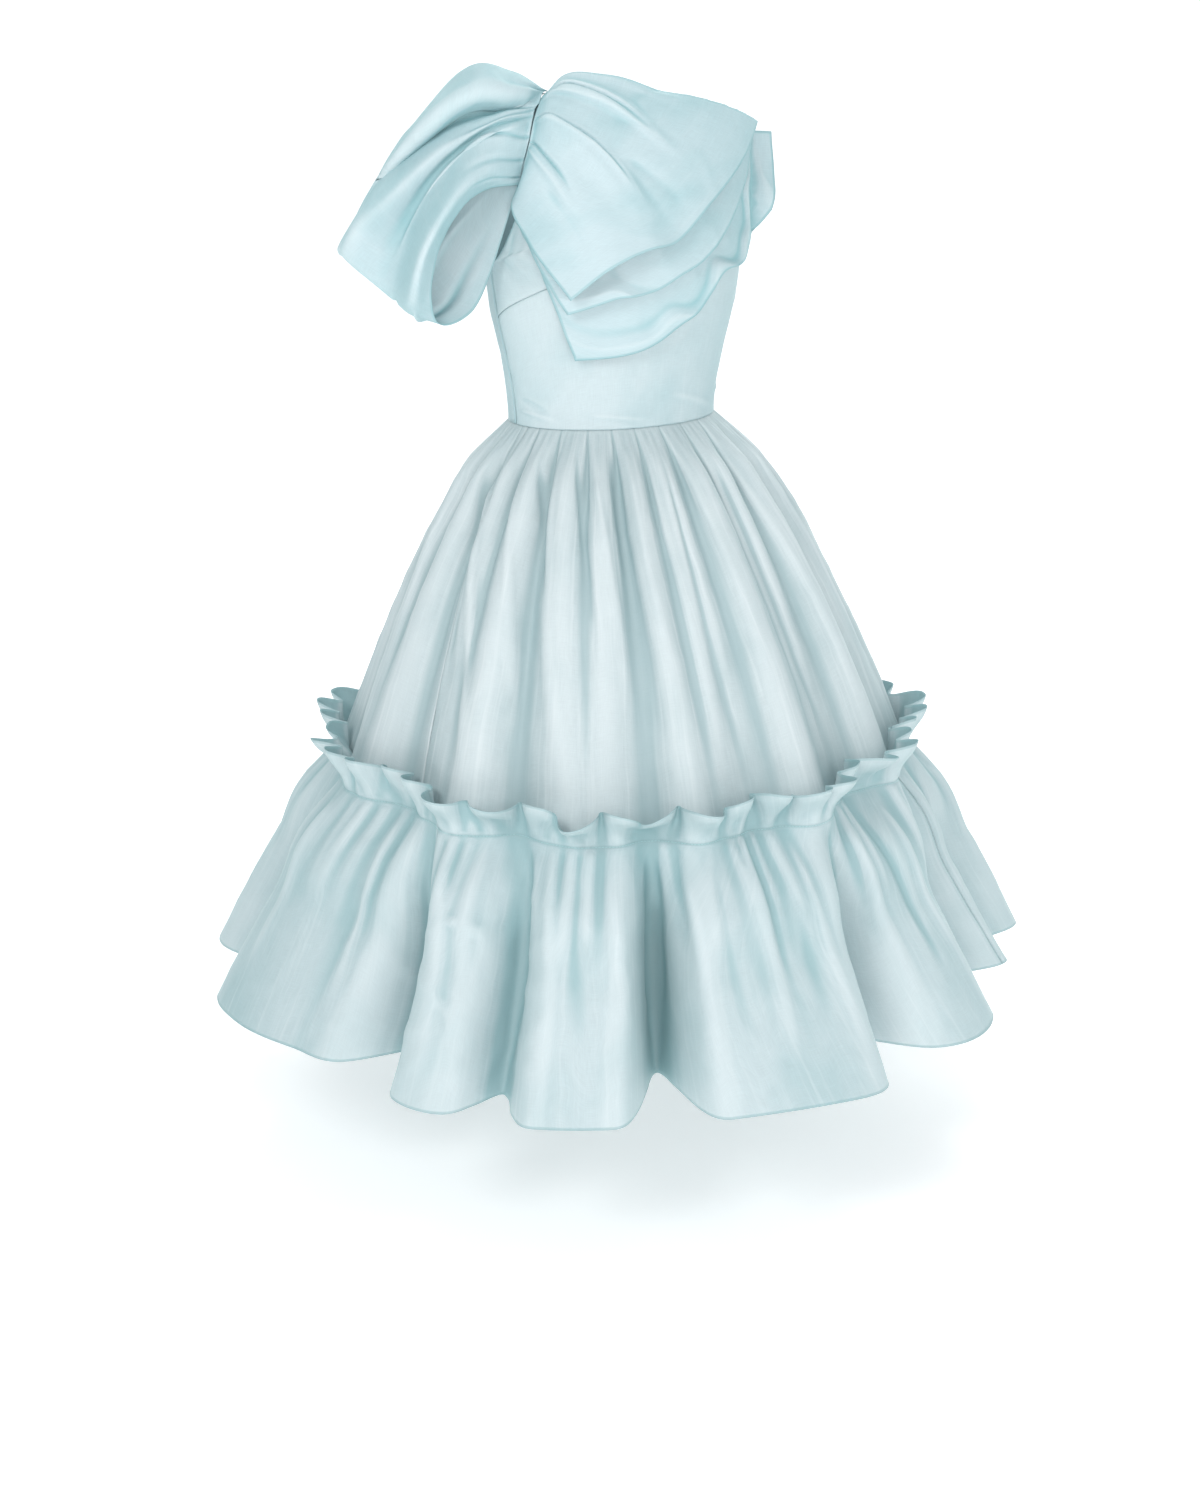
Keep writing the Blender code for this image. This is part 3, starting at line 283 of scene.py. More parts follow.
# Concealed zip at the centre back
ZIP_TOP_Z = -0.1315
ZIP_TAPE = 0.0056
ZIP_THICK = 0.0010
ZIP_CLEAR = 0.0010
NOTCH_GAP = 0.0022           # the back edges are held apart at the slider
NOTCH_END_Z = -0.137
ZIP_END = 0.30               # share of the tier down to which the zip runs


def weights(keys, places):
    """Share of each key's row in a smooth curve through the rows, at each place."""
    keys = np.asarray(keys, float)
    places = np.asarray(places, float)
    own = np.eye(len(keys))
    slopes = np.gradient(own, keys, axis=0)
    low = np.clip(np.searchsorted(keys, places, side="right") - 1, 0, len(keys) - 2)
    span = keys[low + 1] - keys[low]
    s = (places - keys[low]) / span
    first = (1 + 2 * s) * (1 - s) ** 2
    last = s * s * (3 - 2 * s)
    first_slope = s * (1 - s) ** 2 * span
    last_slope = s * s * (s - 1) * span
    return (first[..., None] * own[low] + last[..., None] * own[low + 1]
            + first_slope[..., None] * slopes[low] + last_slope[..., None] * slopes[low + 1])


def read(table, places):
    """Columns of a table, smoothly between its rows; its first column holds the keys."""
    rows = np.asarray(table, float)
    return weights(rows[:, 0], places) @ rows[:, 1:]


def read_round(table, angles):
    """One column of a table of angles that closes on itself after a full turn."""
    rows = np.asarray(table, float)
    turn = np.array([360.0, 0.0])
    rows = np.vstack([rows[-3:] - turn, rows, rows[:3] + turn])
    wrapped = (np.asarray(angles, float) + 180.0) % 360.0 - 180.0
    return (weights(rows[:, 0], wrapped) @ rows[:, 1:])[..., 0]


def ease(value):
    """Smooth step from 0 to 1."""
    s = np.clip(value, 0.0, 1.0)
    return s * s * (3 - 2 * s)


def point(x, y, z):
    return np.stack(np.broadcast_arrays(x, y, z), axis=-1)


def route(points, places):
    """Points along a smooth curve through the given ones, by share of its length."""
    points = np.asarray(points, float)
    steps = np.linalg.norm(np.diff(points, axis=0), axis=1)
    keys = np.concatenate([[0.0], np.cumsum(steps)]) / steps.sum()
    return weights(keys, places) @ points


def normals(surface, u, v):
    """Unit normals on the outer side: u runs to the wearer's left, v runs down."""
    step = 1e-5
    along_u = surface(u + step, v) - surface(u - step, v)
    along_v = surface(u, v + step) - surface(u, v - step)
    normal = np.cross(along_v, along_u)
    return normal / np.maximum(np.linalg.norm(normal, axis=-1, keepdims=True), 1e-12)


def even(count):
    """Evenly spaced shares from 0 to 1."""
    return np.linspace(0.0, 1.0, count + 1)


# Bodice

def level_of(z):
    """Place of a height among the rows of the torso table."""
    heights = [-row[0] for row in TORSO]
    return np.interp(-np.asarray(z, float), heights, range(len(heights)))


def body_point(angle, z):
    """Point on the bodice's outer face, by angle from the front and height."""
    rows = np.asarray(TORSO)
    shares = weights(range(len(rows)), level_of(z))
    height, wide, front, back = np.moveaxis(shares @ rows, -1, 0)
    a = np.radians(angle)
    deep = np.where(np.cos(a) > 0, front, back)
    x = wide * np.sin(a)
    return point(x, -deep * np.cos(a), height - shoulder_drop(x, height))


def angle_at(x, z):
    """Angle round the front of the body of a distance from the axis at a height."""
    wide = np.interp(level_of(z), range(len(TORSO)), [row[1] for row in TORSO])
    return np.degrees(np.arcsin(np.clip(np.asarray(x) / wide, -1.0, 1.0)))


def shoulder_drop(x, z):
    """How far the strap's slope takes a place below its row of the torso table."""
    outer = np.clip((-x - DROP_STARTS_X) / (STRAP_OUTER_X - DROP_STARTS_X), 0.0, 1.5)
    return SHOULDER_DROP * outer * ease(1 - z / DROP_ENDS_Z)


def skin_tree():
    """The body's outer surface as facets, for holding the bow clear of it."""
    shares = np.linspace(0.0, 1.0, SKIN_ROWS) ** 2
    z = SHOULDER_SEAM_Z + (WAIST_Z - SHOULDER_SEAM_Z) * shares
    angle, level = np.meshgrid(np.linspace(-BACK, BACK, SKIN_COLUMNS), z, indexing="ij")
    points = body_point(angle, level).reshape(-1, 3)
    faces = []
    for i in range(SKIN_COLUMNS - 1):
        for j in range(SKIN_ROWS - 1):
            a = i * SKIN_ROWS + j
            faces.append((a, a + 1, a + SKIN_ROWS + 1, a + SKIN_ROWS))
    return BVHTree.FromPolygons(points.tolist(), faces)


def held_between(tree, points, low, high, soft=0.0006):
    """Points moved along the body's normals so that their height over it keeps its band."""
    flat = np.array(points, float).reshape(-1, 3)
    low = np.broadcast_to(low, points.shape[:-1]).reshape(-1)
    high = np.broadcast_to(high, points.shape[:-1]).reshape(-1)
    for _ in range(3):
        found = [tree.find_nearest(place) for place in flat.tolist()]
        near = np.array([hit[0] for hit in found])
        out = np.array([hit[1] for hit in found])
        height = np.sum((flat - near) * out, axis=-1)
        wanted = low + soft * np.logaddexp(0.0, (height - low) / soft)
        wanted = np.minimum(wanted, high)
        flat = flat + out * (wanted - height)[..., None]
    return flat.reshape(points.shape)


def off_body(angle, z, height):
    """Point at a height over the body, or within it where the height is less than 0."""
    # Heights run up where a wall's rows run down, so the normals are turned round
    return body_point(angle, z) - normals(body_point, angle, z) * height


def trimmed(first, last, u, radius):
    """Angle across a panel that stops half a seam gap short of each end."""
    trim = np.degrees(SEAM_GAP / 2 / radius)
    return first + (last - first) * u + trim * (1 - 2 * u)


def edge_columns(table, v):
    rows = np.asarray(table, float)
    return np.moveaxis(weights(even(len(rows) - 1), v) @ rows, -1, 0)


def upper_front(u, v):
    """Bust cup and strap, from the armhole to the neckline and down to the bust seam."""
    arm_z, arm_x, neck_z, neck_x = edge_columns(UPPER_FRONT, v)
    first = angle_at(arm_x, arm_z)
    last = angle_at(neck_x, neck_z)
    angle = first + (last - first) * u
    z = arm_z + (neck_z - arm_z) * u
    seam = read(BUST_SEAM, np.clip(angle, -SIDE, SIDE))[..., 0]
    low_row = UPPER_FRONT[-1]
    straight = low_row[0] + (low_row[2] - low_row[0]) * (angle + SIDE) / (2 * SIDE)
    z = z + (seam - straight + SEAM_GAP / 2) * np.clip(v, 0, 1) ** 3
    return body_point(angle, z)


def lower_front(u, v):
    """Front from the bust seam to the waist."""
    angle = trimmed(-SIDE, SIDE, u, BODICE_RADIUS)
    top = read(BUST_SEAM, np.clip(angle, -SIDE, SIDE))[..., 0] - SEAM_GAP / 2
    return body_point(angle, top + (WAIST_Z - top) * v)


def notch(z):
    """Half the gap between the back's edges, wider where the slider passes."""
    opened = ease((z - NOTCH_END_Z) / 0.006)
    return SEAM_GAP / 2 + (NOTCH_GAP - SEAM_GAP) / 2 * opened


def right_back(u, v):
    """Right back with its strap, from the centre back round to the armhole and side."""
    arm_z, arm_x, mid_z, mid_x = edge_columns(RIGHT_BACK, v)
    z = mid_z + (arm_z - mid_z) * u
    on_seam = np.where(mid_z < -0.100, notch(mid_z), 0.0)
    first = -180.0 - angle_at(np.minimum(mid_x, 0.0) - on_seam, mid_z)
    last = -180.0 - angle_at(arm_x, arm_z) - 0.08
    return body_point(first + (last - first) * u, z)


def left_back(u, v):
    """Left back, from the side seam round to the centre back."""
    top_angle = trimmed(SIDE, BACK, u, BODICE_RADIUS)
    top = read(LEFT_BACK_NECK, np.clip(top_angle, SIDE, BACK))[..., 0]
    z = top + (WAIST_Z - top) * v
    wide = np.interp(level_of(z), range(len(TORSO)), [row[1] for row in TORSO])
    extra = np.degrees(notch(z) / wide) * np.clip(u, 0, 1) ** 6
    return body_point(top_angle - extra, z)


# Skirt and flounce

def wandering(angle, count, wander):
    """Phase of waves round the body whose widths differ from one to the next."""
    a = np.radians(angle)
    phase = count * a
    for times, amount, offset in wander:
        phase = phase + amount * np.sin(times * a + offset)
    return phase


def pleated(angle):
    """Puff of the cloth between the waist's pleats, from 0 in a groove to 1."""
    start = PLEAT_GROOVES[0]
    turned = (np.asarray(angle, float) - start) % 360.0 + start
    grooves = (*PLEAT_GROOVES, start + 360.0)
    place = np.interp(turned, grooves, range(len(grooves)))
    across = np.sin(np.pi * (place - np.floor(place)))
    soft = GROOVE_ROUNDING
    return (np.hypot(across, soft) - soft) / (np.hypot(1.0, soft) - soft)


def tier_point(angle, share):
    """Point on the skirt tier, by angle from the front and share of the way down."""
    wide, deep, middle_x, middle_y = np.moveaxis(read(TIER, share), -1, 0)
    a = np.radians(angle)
    high = PLEAT_HEIGHT * ease(share / PLEAT_OPEN)
    high = high * (1 - (1 - PLEAT_LEFT) * ease((share - 0.20) / 0.80))
    fold = FOLD_GAIN * read_round(TIER_FOLDS, angle) * np.clip(share, 0, 1.1) ** FOLD_GROWTH
    out = high * (pleated(angle) - 0.25) + fold
    x = middle_x + (wide + out) * np.sin(a)
    y = middle_y - (deep + out) * np.cos(a)
    return point(x, y, WAIST_Z - SEAM_GAP + (STITCH_Z - WAIST_Z) * share)


def tier_panel(first, last):
    def surface(u, v):
        radius = WAIST_RADIUS + (STITCH_RADIUS - WAIST_RADIUS) * v
        return tier_point(trimmed(first, last, u, radius), v)
    return surface


def flap_lean(angle):
    """How far the heading leans outwards, in degrees from upright."""
    lean = HEADING_LEAN + HEADING_SWAY * np.cos(wandering(angle, RUFFLES, RUFFLE_WANDER))
    for middle, half, amount in FLAPS:
        off = (angle - middle + 180.0) % 360.0 - 180.0
        lean = lean + amount * np.exp(-(off / half) ** 2)
    return lean


FLOUNCE_DROP = HEM_Z - STITCH_Z


def heading_spread(angle):
    """Degrees that the ruffles' fronts push the heading's top edge to each side."""
    off = np.abs((np.subtract.outer(angle, FLOUNCE_SEAMS) + 180.0) % 360.0 - 180.0).min(axis=-1)
    phase = wandering(angle, RUFFLES, RUFFLE_WANDER)
    return RUFFLE_SPREAD * np.sin(phase) * ease(off / SPREAD_FROM_SEAM)


def flounce_point(angle, along):
    """Point on the flounce: 0 at the stitch line, 1 at the hem, -1 at the heading's top."""
    down = np.clip(along, 0.0, None)
    up = np.clip(-along, 0.0, None)
    a = np.radians(angle + heading_spread(angle) * up)
    base = tier_point(angle, np.ones_like(a))
    wave = np.cos(wandering(angle, RUFFLES, RUFFLE_WANDER))
    ruffle = 0.5 + 0.5 * wave + 0.22 * (wave - wave ** 3) * ease(up)
    gathered = RUFFLE_AT_STITCH + (RUFFLE_BELOW - RUFFLE_AT_STITCH) * ease(down / GATHER_OPEN)
    gathered = gathered * (1 - ease((down - GATHER_OPEN) / GATHER_FADE))
    gathered = gathered * (0.65 + 0.35 * np.cos(wandering(angle, GATHER_GROUPS, RUFFLE_WANDER)))
    gathered = gathered + RUFFLE_IN_HEADING * ease(up)
    seat = SKIRT_WALL * SEAT_SLOPE + SEAM_GAP
    puff = GATHER_PUFF * np.sin(np.pi * np.clip(down / 0.5, 0, 1)) ** 2
    start = np.hypot(base[..., 0] - FLOUNCE_MIDDLE_X, base[..., 1])
    depth = np.clip((HEM_CREST - read_round(HEM_FOLDS, angle)) / HEM_DEPTH, 0.0, 1.3)
    hem = HEM_CREST - HEM_DEPTH * depth ** VALLEY_SHARPNESS
    radius = start + seat + ruffle * gathered + puff + (HEM_MEAN - start) * down
    radius = radius + (hem - HEM_MEAN) * (1.5 * down - 0.5 * down ** 3)
    lean = np.radians(flap_lean(angle)) * ease(up * 1.2)
    high = HEADING * up * (1 - HEADING_DIP * ease(0.5 - 0.5 * wave))
    radius = radius + high * np.sin(lean)
    z = base[..., 2] + FLOUNCE_DROP * down + high * np.cos(lean)
    z = z + HEM_WAVE * ease((down - 0.6) / 0.4) * np.cos(5 * a + 1.0)
    return point(FLOUNCE_MIDDLE_X + radius * np.sin(a), -radius * np.cos(a), z)


def flounce_panel(first, last):
    def surface(u, v):
        radius = STITCH_RADIUS + (HEM_RADIUS - STITCH_RADIUS) * np.clip(v, 0, 1)
        return flounce_point(trimmed(first, last, u, radius), v)
    return surface


# Bow

def pinch_point(share, height):
    """Point above the strap along the bow's pinch seam."""
    rows = np.asarray(PINCH)
    x, z = np.moveaxis(weights(even(len(rows) - 1), share) @ rows, -1, 0)
    return off_body(angle_at(x, z), z, height)


def layer_surface(name, tree):
    """A fan of cloth from the pinch seam to its far edge over the chest."""
    edges = {key: np.array(rows) / 1000.0 for key, rows in LAYER_EDGES[name].items()}
    low, high, low_far, high_far = LAYER_BANDS[name]
    root = pinch_point(even(5), low) + np.array([PINCH_GAP, 0.0, 0.0])
    upper = np.vstack([root[:1], edges["upper"], edges["far"][:1]])
    lower = np.vstack([root[-1:], edges["lower"], edges["far"][-1:]])
    seam = pinch_point(even(24), low) + np.array([PINCH_GAP, 0.0, 0.0])

    def surface(u, v):
        u1 = u[..., None]
        v1 = v[..., None]
        flat = ((1 - v1) * route(upper, u) + v1 * route(lower, u)
                + (1 - u1) * route(root, v) + u1 * route(edges["far"], v)
                - (1 - u1) * (1 - v1) * root[0] - u1 * (1 - v1) * edges["far"][0]
                - (1 - u1) * v1 * root[-1] - u1 * v1 * edges["far"][-1])
        lift = layer_lift(name, u, v)[..., None] * np.array(FOLD_WAY)
        away = np.linalg.norm(flat[..., None, :] - seam, axis=-1).min(axis=-1)
        share = ease(away / BAND_REACH)
        free = BAND_FREEDOM * np.clip(flat[..., 0] - BAND_FREE_X, 0.0, None)
        return held_between(tree, flat + lift, low + (low_far - low) * share,
                            high + (high_far - high) * share + free)
    return surface


def layer_lift(name, u, v):
    """How far a layer's folds and its soft bulge stand out."""
    inside = np.sin(np.pi * np.clip(u, 0, 1)) * np.sin(np.pi * np.clip(v, 0, 1))
    lift = LAYER_BULGE[name] * inside
    for at_root, at_far, near, far in LAYER_FOLDS[name]:
        line = at_root + (at_far - at_root) * u
        shape = np.exp(-((v - line) / FOLD_WIDTH) ** 2)
        lift = lift + (near + (far - near) * ease(u)) * shape * ease(u / 0.12)
    return lift


def loop_grid():
    """Ribs of the draped loop, each with its root and its end on the strap."""
    ribs = []
    for share, places in LOOP_RIBS:
        on_strap = np.array(max(share, 0.0))
        root = pinch_point(on_strap, LOOP_ROOT) - np.array([PINCH_GAP, 0.0, 0.0])
        end = pinch_point(on_strap, LOOP_END) - np.array([PINCH_GAP + 0.003, 0.0, 0.0])
        if share < 0:
            behind = body_point(*np.array(LOOP_BEHIND))
            root = behind + np.array([0.0, 0.0, LOOP_ROOT])
            end = behind + np.array([-0.003, 0.002, LOOP_END])
        ribs.append(np.vstack([root, np.array(places) / 1000.0, end]))
    return np.array(ribs)


def loop_lift(u, v):
    """How far the loop's overlapping folds stand out, on its outer ply."""
    lift = np.zeros(np.broadcast(u, v).shape)
    for at_strap, at_turn, height, soft, steep in LOOP_LIPS:
        off = v - at_strap - (at_turn - at_strap) * u / LOOP_KEYS[4]
        width = np.where(off * soft > 0, abs(soft), abs(steep))
        lift = lift + height * np.exp(-np.abs(off / width) ** 1.6)
    return lift * ease(u / 0.10) * ease((LOOP_KEYS[5] - u) / 0.20)


def loop_surface(tree):
    """The loop's cloth, from its root out over the arm, round the turn and back under."""
    grid = loop_grid()

    def smooth(u, v):
        along = weights(LOOP_KEYS, u)
        across = weights(LOOP_RIB_PLACES, v)
        return np.einsum("...k,...l,klc->...c", across, along, grid)

    def surface(u, v):
        free = smooth(u, v) + normals(smooth, u, v) * loop_lift(u, v)[..., None]
        outer_ply = ease((LOOP_KEYS[5] - u) / 0.1)
        keep = LOOP_END + (LOOP_ROOT - LOOP_END) * outer_ply
        return held_between(tree, free, keep, 1.0)
    return surface


# Zip

def zip_surface(u, v):
    """Outer face of the closed teeth, behind the back seam and on down into the tier."""
    share = np.clip(v, 0.0, None)
    z = ZIP_TOP_Z + (WAIST_Z - ZIP_TOP_Z) * np.clip(1.0 + v, 0.0, 1.0)
    back = np.full_like(z, BACK)
    upper = off_body(back, z, -(BODICE_WALL + ZIP_CLEAR))
    lower = tier_point(back, share)
    lower = lower - normals(tier_point, back, share) * (SKIRT_WALL + 3 * ZIP_CLEAR)
    path = np.where((v > 0.0)[..., None], lower, upper)
    waist = np.exp(-(v / 0.04) ** 2)
    return point(ZIP_TAPE * (0.5 - u), path[..., 1] - 2 * ZIP_CLEAR * waist, path[..., 2])


# Looks

CLOTH_THICK = 0.0007
NARROW_HEM = 0.0032
SEAM_CALM = 0.010            # creases run out this near a side seam
SHARP_FOLD = 0.0013          # depth at which a narrow fold takes its full painted shade
SOFT_FOLD = 0.0045           # and a wide one
SEED = 11
WAIST_TUCK = 0.0025          # the tier's upper edge goes this far up behind the bodice
WAIST_TUCK_IN = 0.35         # and inwards, as a share of the step between its rows

# Creases: place at the start, place at the end, sideways bend, half width and height.
# Places are an angle in degrees and a share of the way down.
TIER_CREASES = (
    (-84.0, 0.04, -61.0, 0.97, 3.0, 1.6, 4.5),
    (-88.0, 0.06, -71.0, 0.80, 2.0, 2.2, -3.5),
    (-66.0, 0.05, -52.0, 0.88, 2.0, 1.7, 3.0),
    (-58.0, 0.04, -45.0, 0.55, 1.5, 1.5, -2.6),
    (-49.0, 0.03, -40.0, 0.93, -2.0, 1.8, 3.4),
    (-41.0, 0.02, -33.0, 0.60, 1.0, 1.2, -2.4),
    (-33.0, 0.03, -27.0, 0.78, 2.0, 1.4, 3.0),
    (-26.0, 0.04, -20.0, 0.97, 1.5, 2.2, -4.0),
    (-18.0, 0.02, -14.0, 0.66, -1.5, 1.3, 2.8),
    (-10.0, 0.03, -8.0, 0.97, 1.0, 1.6, 3.2),
    (-3.0, 0.03, -2.0, 0.96, -1.5, 1.5, -4.4),
    (6.0, 0.03, 8.0, 0.72, 1.0, 1.3, 3.0),
    (14.0, 0.02, 17.0, 0.95, 1.5, 1.6, 3.0),
    (22.0, 0.05, 27.0, 0.97, -1.5, 1.8, -5.0),
    (33.0, 0.03, 40.0, 0.90, 2.0, 1.7, 3.6),
    (45.0, 0.04, 52.0, 0.95, 2.0, 1.8, -3.4),
    (57.0, 0.03, 66.0, 0.80, -2.0, 1.7, 3.2),
    (70.0, 0.04, 80.0, 0.97, 2.0, 2.0, 3.4),
    (84.0, 0.05, 91.0, 0.90, 1.0, 1.6, -3.4),
    (100.0, 0.03, 106.0, 0.90, 2.0, 1.8, 3.2),
    (118.0, 0.04, 123.0, 0.96, -2.0, 1.9, -3.6),
    (133.0, 0.03, 140.0, 0.82, 1.0, 1.7, 3.2),
    (150.0, 0.04, 156.0, 0.97, 2.0, 1.8, -3.4),
    (168.0, 0.03, 172.0, 0.88, 1.0, 1.6, 3.0),
    (-172.0, 0.04, -168.0, 0.92, 1.0, 1.7, 3.2),
    (-158.0, 0.03, -150.0, 0.95, 2.0, 1.9, -3.4),
    (-141.0, 0.04, -130.0, 0.86, -2.0, 1.7, 3.4),
    (-124.0, 0.03, -113.0, 0.96, 2.0, 1.8, -3.4),
    (-106.0, 0.04, -97.0, 0.84, 1.0, 1.7, 3.2),
)
FLOUNCE_CREASES = (
    (-63.0, 0.02, -58.0, 0.98, 1.5, 1.6, 5.0),
    (-59.0, 0.30, -50.0, 0.42, 1.0, 1.0, 2.2),
    (-56.0, 0.02, -51.0, 0.90, -1.5, 1.4, 4.0),
    (-61.0, 0.55, -50.0, 0.78, 0.6, 1.0, 1.8),
    (-47.8, 0.02, -47.6, 0.98, 0.6, 1.3, -8.0),
    (-43.0, 0.02, -41.0, 0.97, 1.0, 1.4, 5.0),
    (-37.0, 0.05, -35.0, 0.80, -1.0, 1.6, -3.0),
    (-33.0, 0.02, -30.0, 0.98, 1.0, 1.5, 4.6),
    (-25.0, 0.02, -24.3, 0.99, 0.4, 1.5, -12.0),
    (-19.5, 0.02, -18.0, 0.97, 0.8, 1.3, 6.0),
    (-14.0, 0.04, -12.0, 0.85, -1.0, 1.6, -3.0),
    (-8.5, 0.02, -7.5, 0.97, 1.0, 1.5, 4.2),
    (-2.0, 0.03, -1.0, 0.80, 0.8, 1.6, -3.0),
    (3.0, 0.02, 5.0, 0.97, -0.8, 1.3, 4.4),
    (13.0, 0.02, 13.5, 0.98, 0.5, 1.6, -11.0),
    (20.0, 0.02, 21.5, 0.97, 0.8, 1.3, 5.0),
    (27.5, 0.03, 28.0, 0.86, 1.0, 1.3, -5.0),
    (34.0, 0.02, 35.0, 0.98, -0.8, 1.4, 5.0),
    (45.0, 0.02, 46.0, 0.98, 0.8, 1.3, -7.0),
    (53.0, 0.02, 54.5, 0.97, 1.0, 1.3, 4.8),
    (60.0, 0.02, 60.5, 0.97, 0.4, 1.3, -6.0),
    (67.0, 0.02, 69.0, 0.98, 1.0, 1.6, 4.8),
    (79.0, 0.03, 80.0, 0.90, -1.0, 1.5, 4.2),
    (90.0, 0.02, 90.0, 0.98, 0.5, 1.5, -8.0),
    (104.0, 0.02, 105.0, 0.90, 1.0, 1.6, 4.2),
    (120.0, 0.02, 120.0, 0.98, 0.5, 1.5, -8.0),
    (134.0, 0.03, 136.0, 0.88, -1.0, 1.6, 4.2),
    (148.0, 0.02, 148.0, 0.98, 0.5, 1.5, -8.0),
    (163.0, 0.03, 164.0, 0.90, 1.0, 1.6, 4.2),
    (180.0, 0.02, 180.0, 0.98, 0.5, 1.4, -7.0),
    (-164.0, 0.03, -163.0, 0.90, 1.0, 1.6, 4.2),
    (-147.0, 0.02, -147.0, 0.98, 0.5, 1.5, -8.0),
    (-132.0, 0.03, -131.0, 0.88, -1.0, 1.6, 4.2),
    (-114.0, 0.02, -114.0, 0.98, 0.5, 1.5, -8.0),
    (-98.0, 0.03, -97.0, 0.90, 1.0, 1.6, 4.2),
    (-80.0, 0.02, -78.0, 0.97, 0.6, 1.3, 3.6),
    (-67.5, 0.02, -67.0, 0.98, 0.4, 1.3, -9.0),
)
# The same for the bow, in shares of each fan: out from the pinch, then down across it
LAYER_CREASES = {
    "bow_layer_top": (
        (-0.02, 0.17, 0.62, 0.29, 0.03, 0.012, -6.0),
        (-0.02, 0.22, 0.80, 0.33, 0.03, 0.024, 5.0),
        (-0.02, 0.40, 0.70, 0.56, 0.03, 0.010, -6.5),
        (-0.02, 0.45, 0.90, 0.60, 0.03, 0.026, 5.5),
        (-0.02, 0.62, 0.46, 0.74, 0.02, 0.012, -4.5),
        (-0.02, 0.68, 0.60, 0.82, 0.02, 0.024, 3.0),
        (0.05, 0.04, 0.85, 0.09, 0.02, 0.030, 2.6),
        (0.50, 0.44, 1.02, 0.50, 0.02, 0.030, -2.2),
        (0.30, 0.80, 0.98, 0.90, 0.02, 0.030, -1.8),
    ),
    "bow_layer_middle": (
        (0.30, 0.55, 1.00, 0.66, 0.02, 0.024, 3.4),
        (0.30, 0.70, 1.00, 0.84, 0.02, 0.024, -2.8),
        (0.40, 0.36, 1.00, 0.46, 0.02, 0.026, 2.6),
    ),
    "bow_layer_under": (
        (0.30, 0.21, 1.00, 0.25, 0.01, 0.022, 1.6),
        (0.30, 0.36, 1.00, 0.41, 0.01, 0.022, 1.8),
        (0.30, 0.53, 1.00, 0.58, 0.01, 0.024, 2.4),
        (0.30, 0.68, 1.00, 0.74, 0.01, 0.024, 2.0),
    ),
}
LOOP_CREASES = (
    (-0.03, 0.445, 0.55, 0.380, 0.00, 0.012, -5.0),
    (-0.03, 0.500, 0.52, 0.552, 0.00, 0.011, -3.5),
    (-0.03, 0.10, 0.26, 0.13, 0.02, 0.014, -2.5),
    (-0.03, 0.24, 0.30, 0.26, 0.02, 0.016, -3.0),
    (-0.03, 0.36, 0.24, 0.36, 0.01, 0.012, -3.0),
    (-0.03, 0.48, 0.34, 0.50, 0.02, 0.014, -3.5),
    (-0.03, 0.70, 0.30, 0.72, 0.02, 0.018, -3.0),
    (-0.03, 0.86, 0.30, 0.86, 0.02, 0.020, -3.0),
    (0.56, 0.14, 0.97, 0.10, 0.02, 0.020, 4.6),
    (0.58, 0.30, 0.97, 0.26, 0.02, 0.018, -4.0),
    (0.56, 0.52, 0.97, 0.50, 0.02, 0.022, 4.0),
    (0.58, 0.76, 0.97, 0.74, 0.02, 0.022, -4.0),
)
BODICE_CREASES = {
    "bodice_front_upper": (
        (0.02, 0.62, 0.20, 0.98, 0.02, 0.030, -1.6),
        (0.06, 0.50, 0.30, 0.92, 0.02, 0.030, 1.4),
        (0.30, 0.80, 0.70, 0.90, 0.02, 0.025, 1.0),
    ),
    "bodice_front_lower": (
        (0.04, 0.86, 0.22, 0.97, 0.01, 0.020, 1.6),
        (0.05, 0.76, 0.17, 0.92, 0.01, 0.020, -1.4),
        (0.30, 0.90, 0.52, 0.98, 0.01, 0.018, 1.2),
        (0.55, 0.80, 0.80, 0.97, 0.01, 0.022, 1.0),
        (0.84, 0.82, 0.97, 0.96, 0.01, 0.020, 1.4),
    ),
    "bodice_back_right": (
        (0.10, 0.86, 0.50, 0.96, 0.01, 0.022, 1.4),
        (0.40, 0.78, 0.95, 0.90, 0.01, 0.022, -1.2),
    ),
    "bodice_back_left": (
        (0.10, 0.88, 0.60, 0.97, 0.01, 0.024, 1.4),
        (0.30, 0.74, 0.80, 0.90, 0.01, 0.024, -1.2),
    ),
}


def creases(table, a, b, b_scale=1.0):
    """Height of listed creases, in metres, at places of one cloth piece."""
    total = np.zeros_like(a)
    for a0, b0, a1, b1, bend, width, height in table:
        run = np.array([a1 - a0, (b1 - b0) * b_scale])
        length = np.hypot(*run)
        da = a - a0
        db = (b - b0) * b_scale
        q = (da * run[0] + db * run[1]) / length ** 2
        off = (da * run[1] - db * run[0]) / length
        off = off - bend * np.sin(np.pi * np.clip(q, 0, 1))
        wide = width * (0.7 + 0.5 * np.clip(q, 0, 1))
        taper = ease(q / 0.18) * ease((1 - q) / 0.45)
        total = total + height * 0.001 * taper * np.exp(-(off / wide) ** 2)
    return total


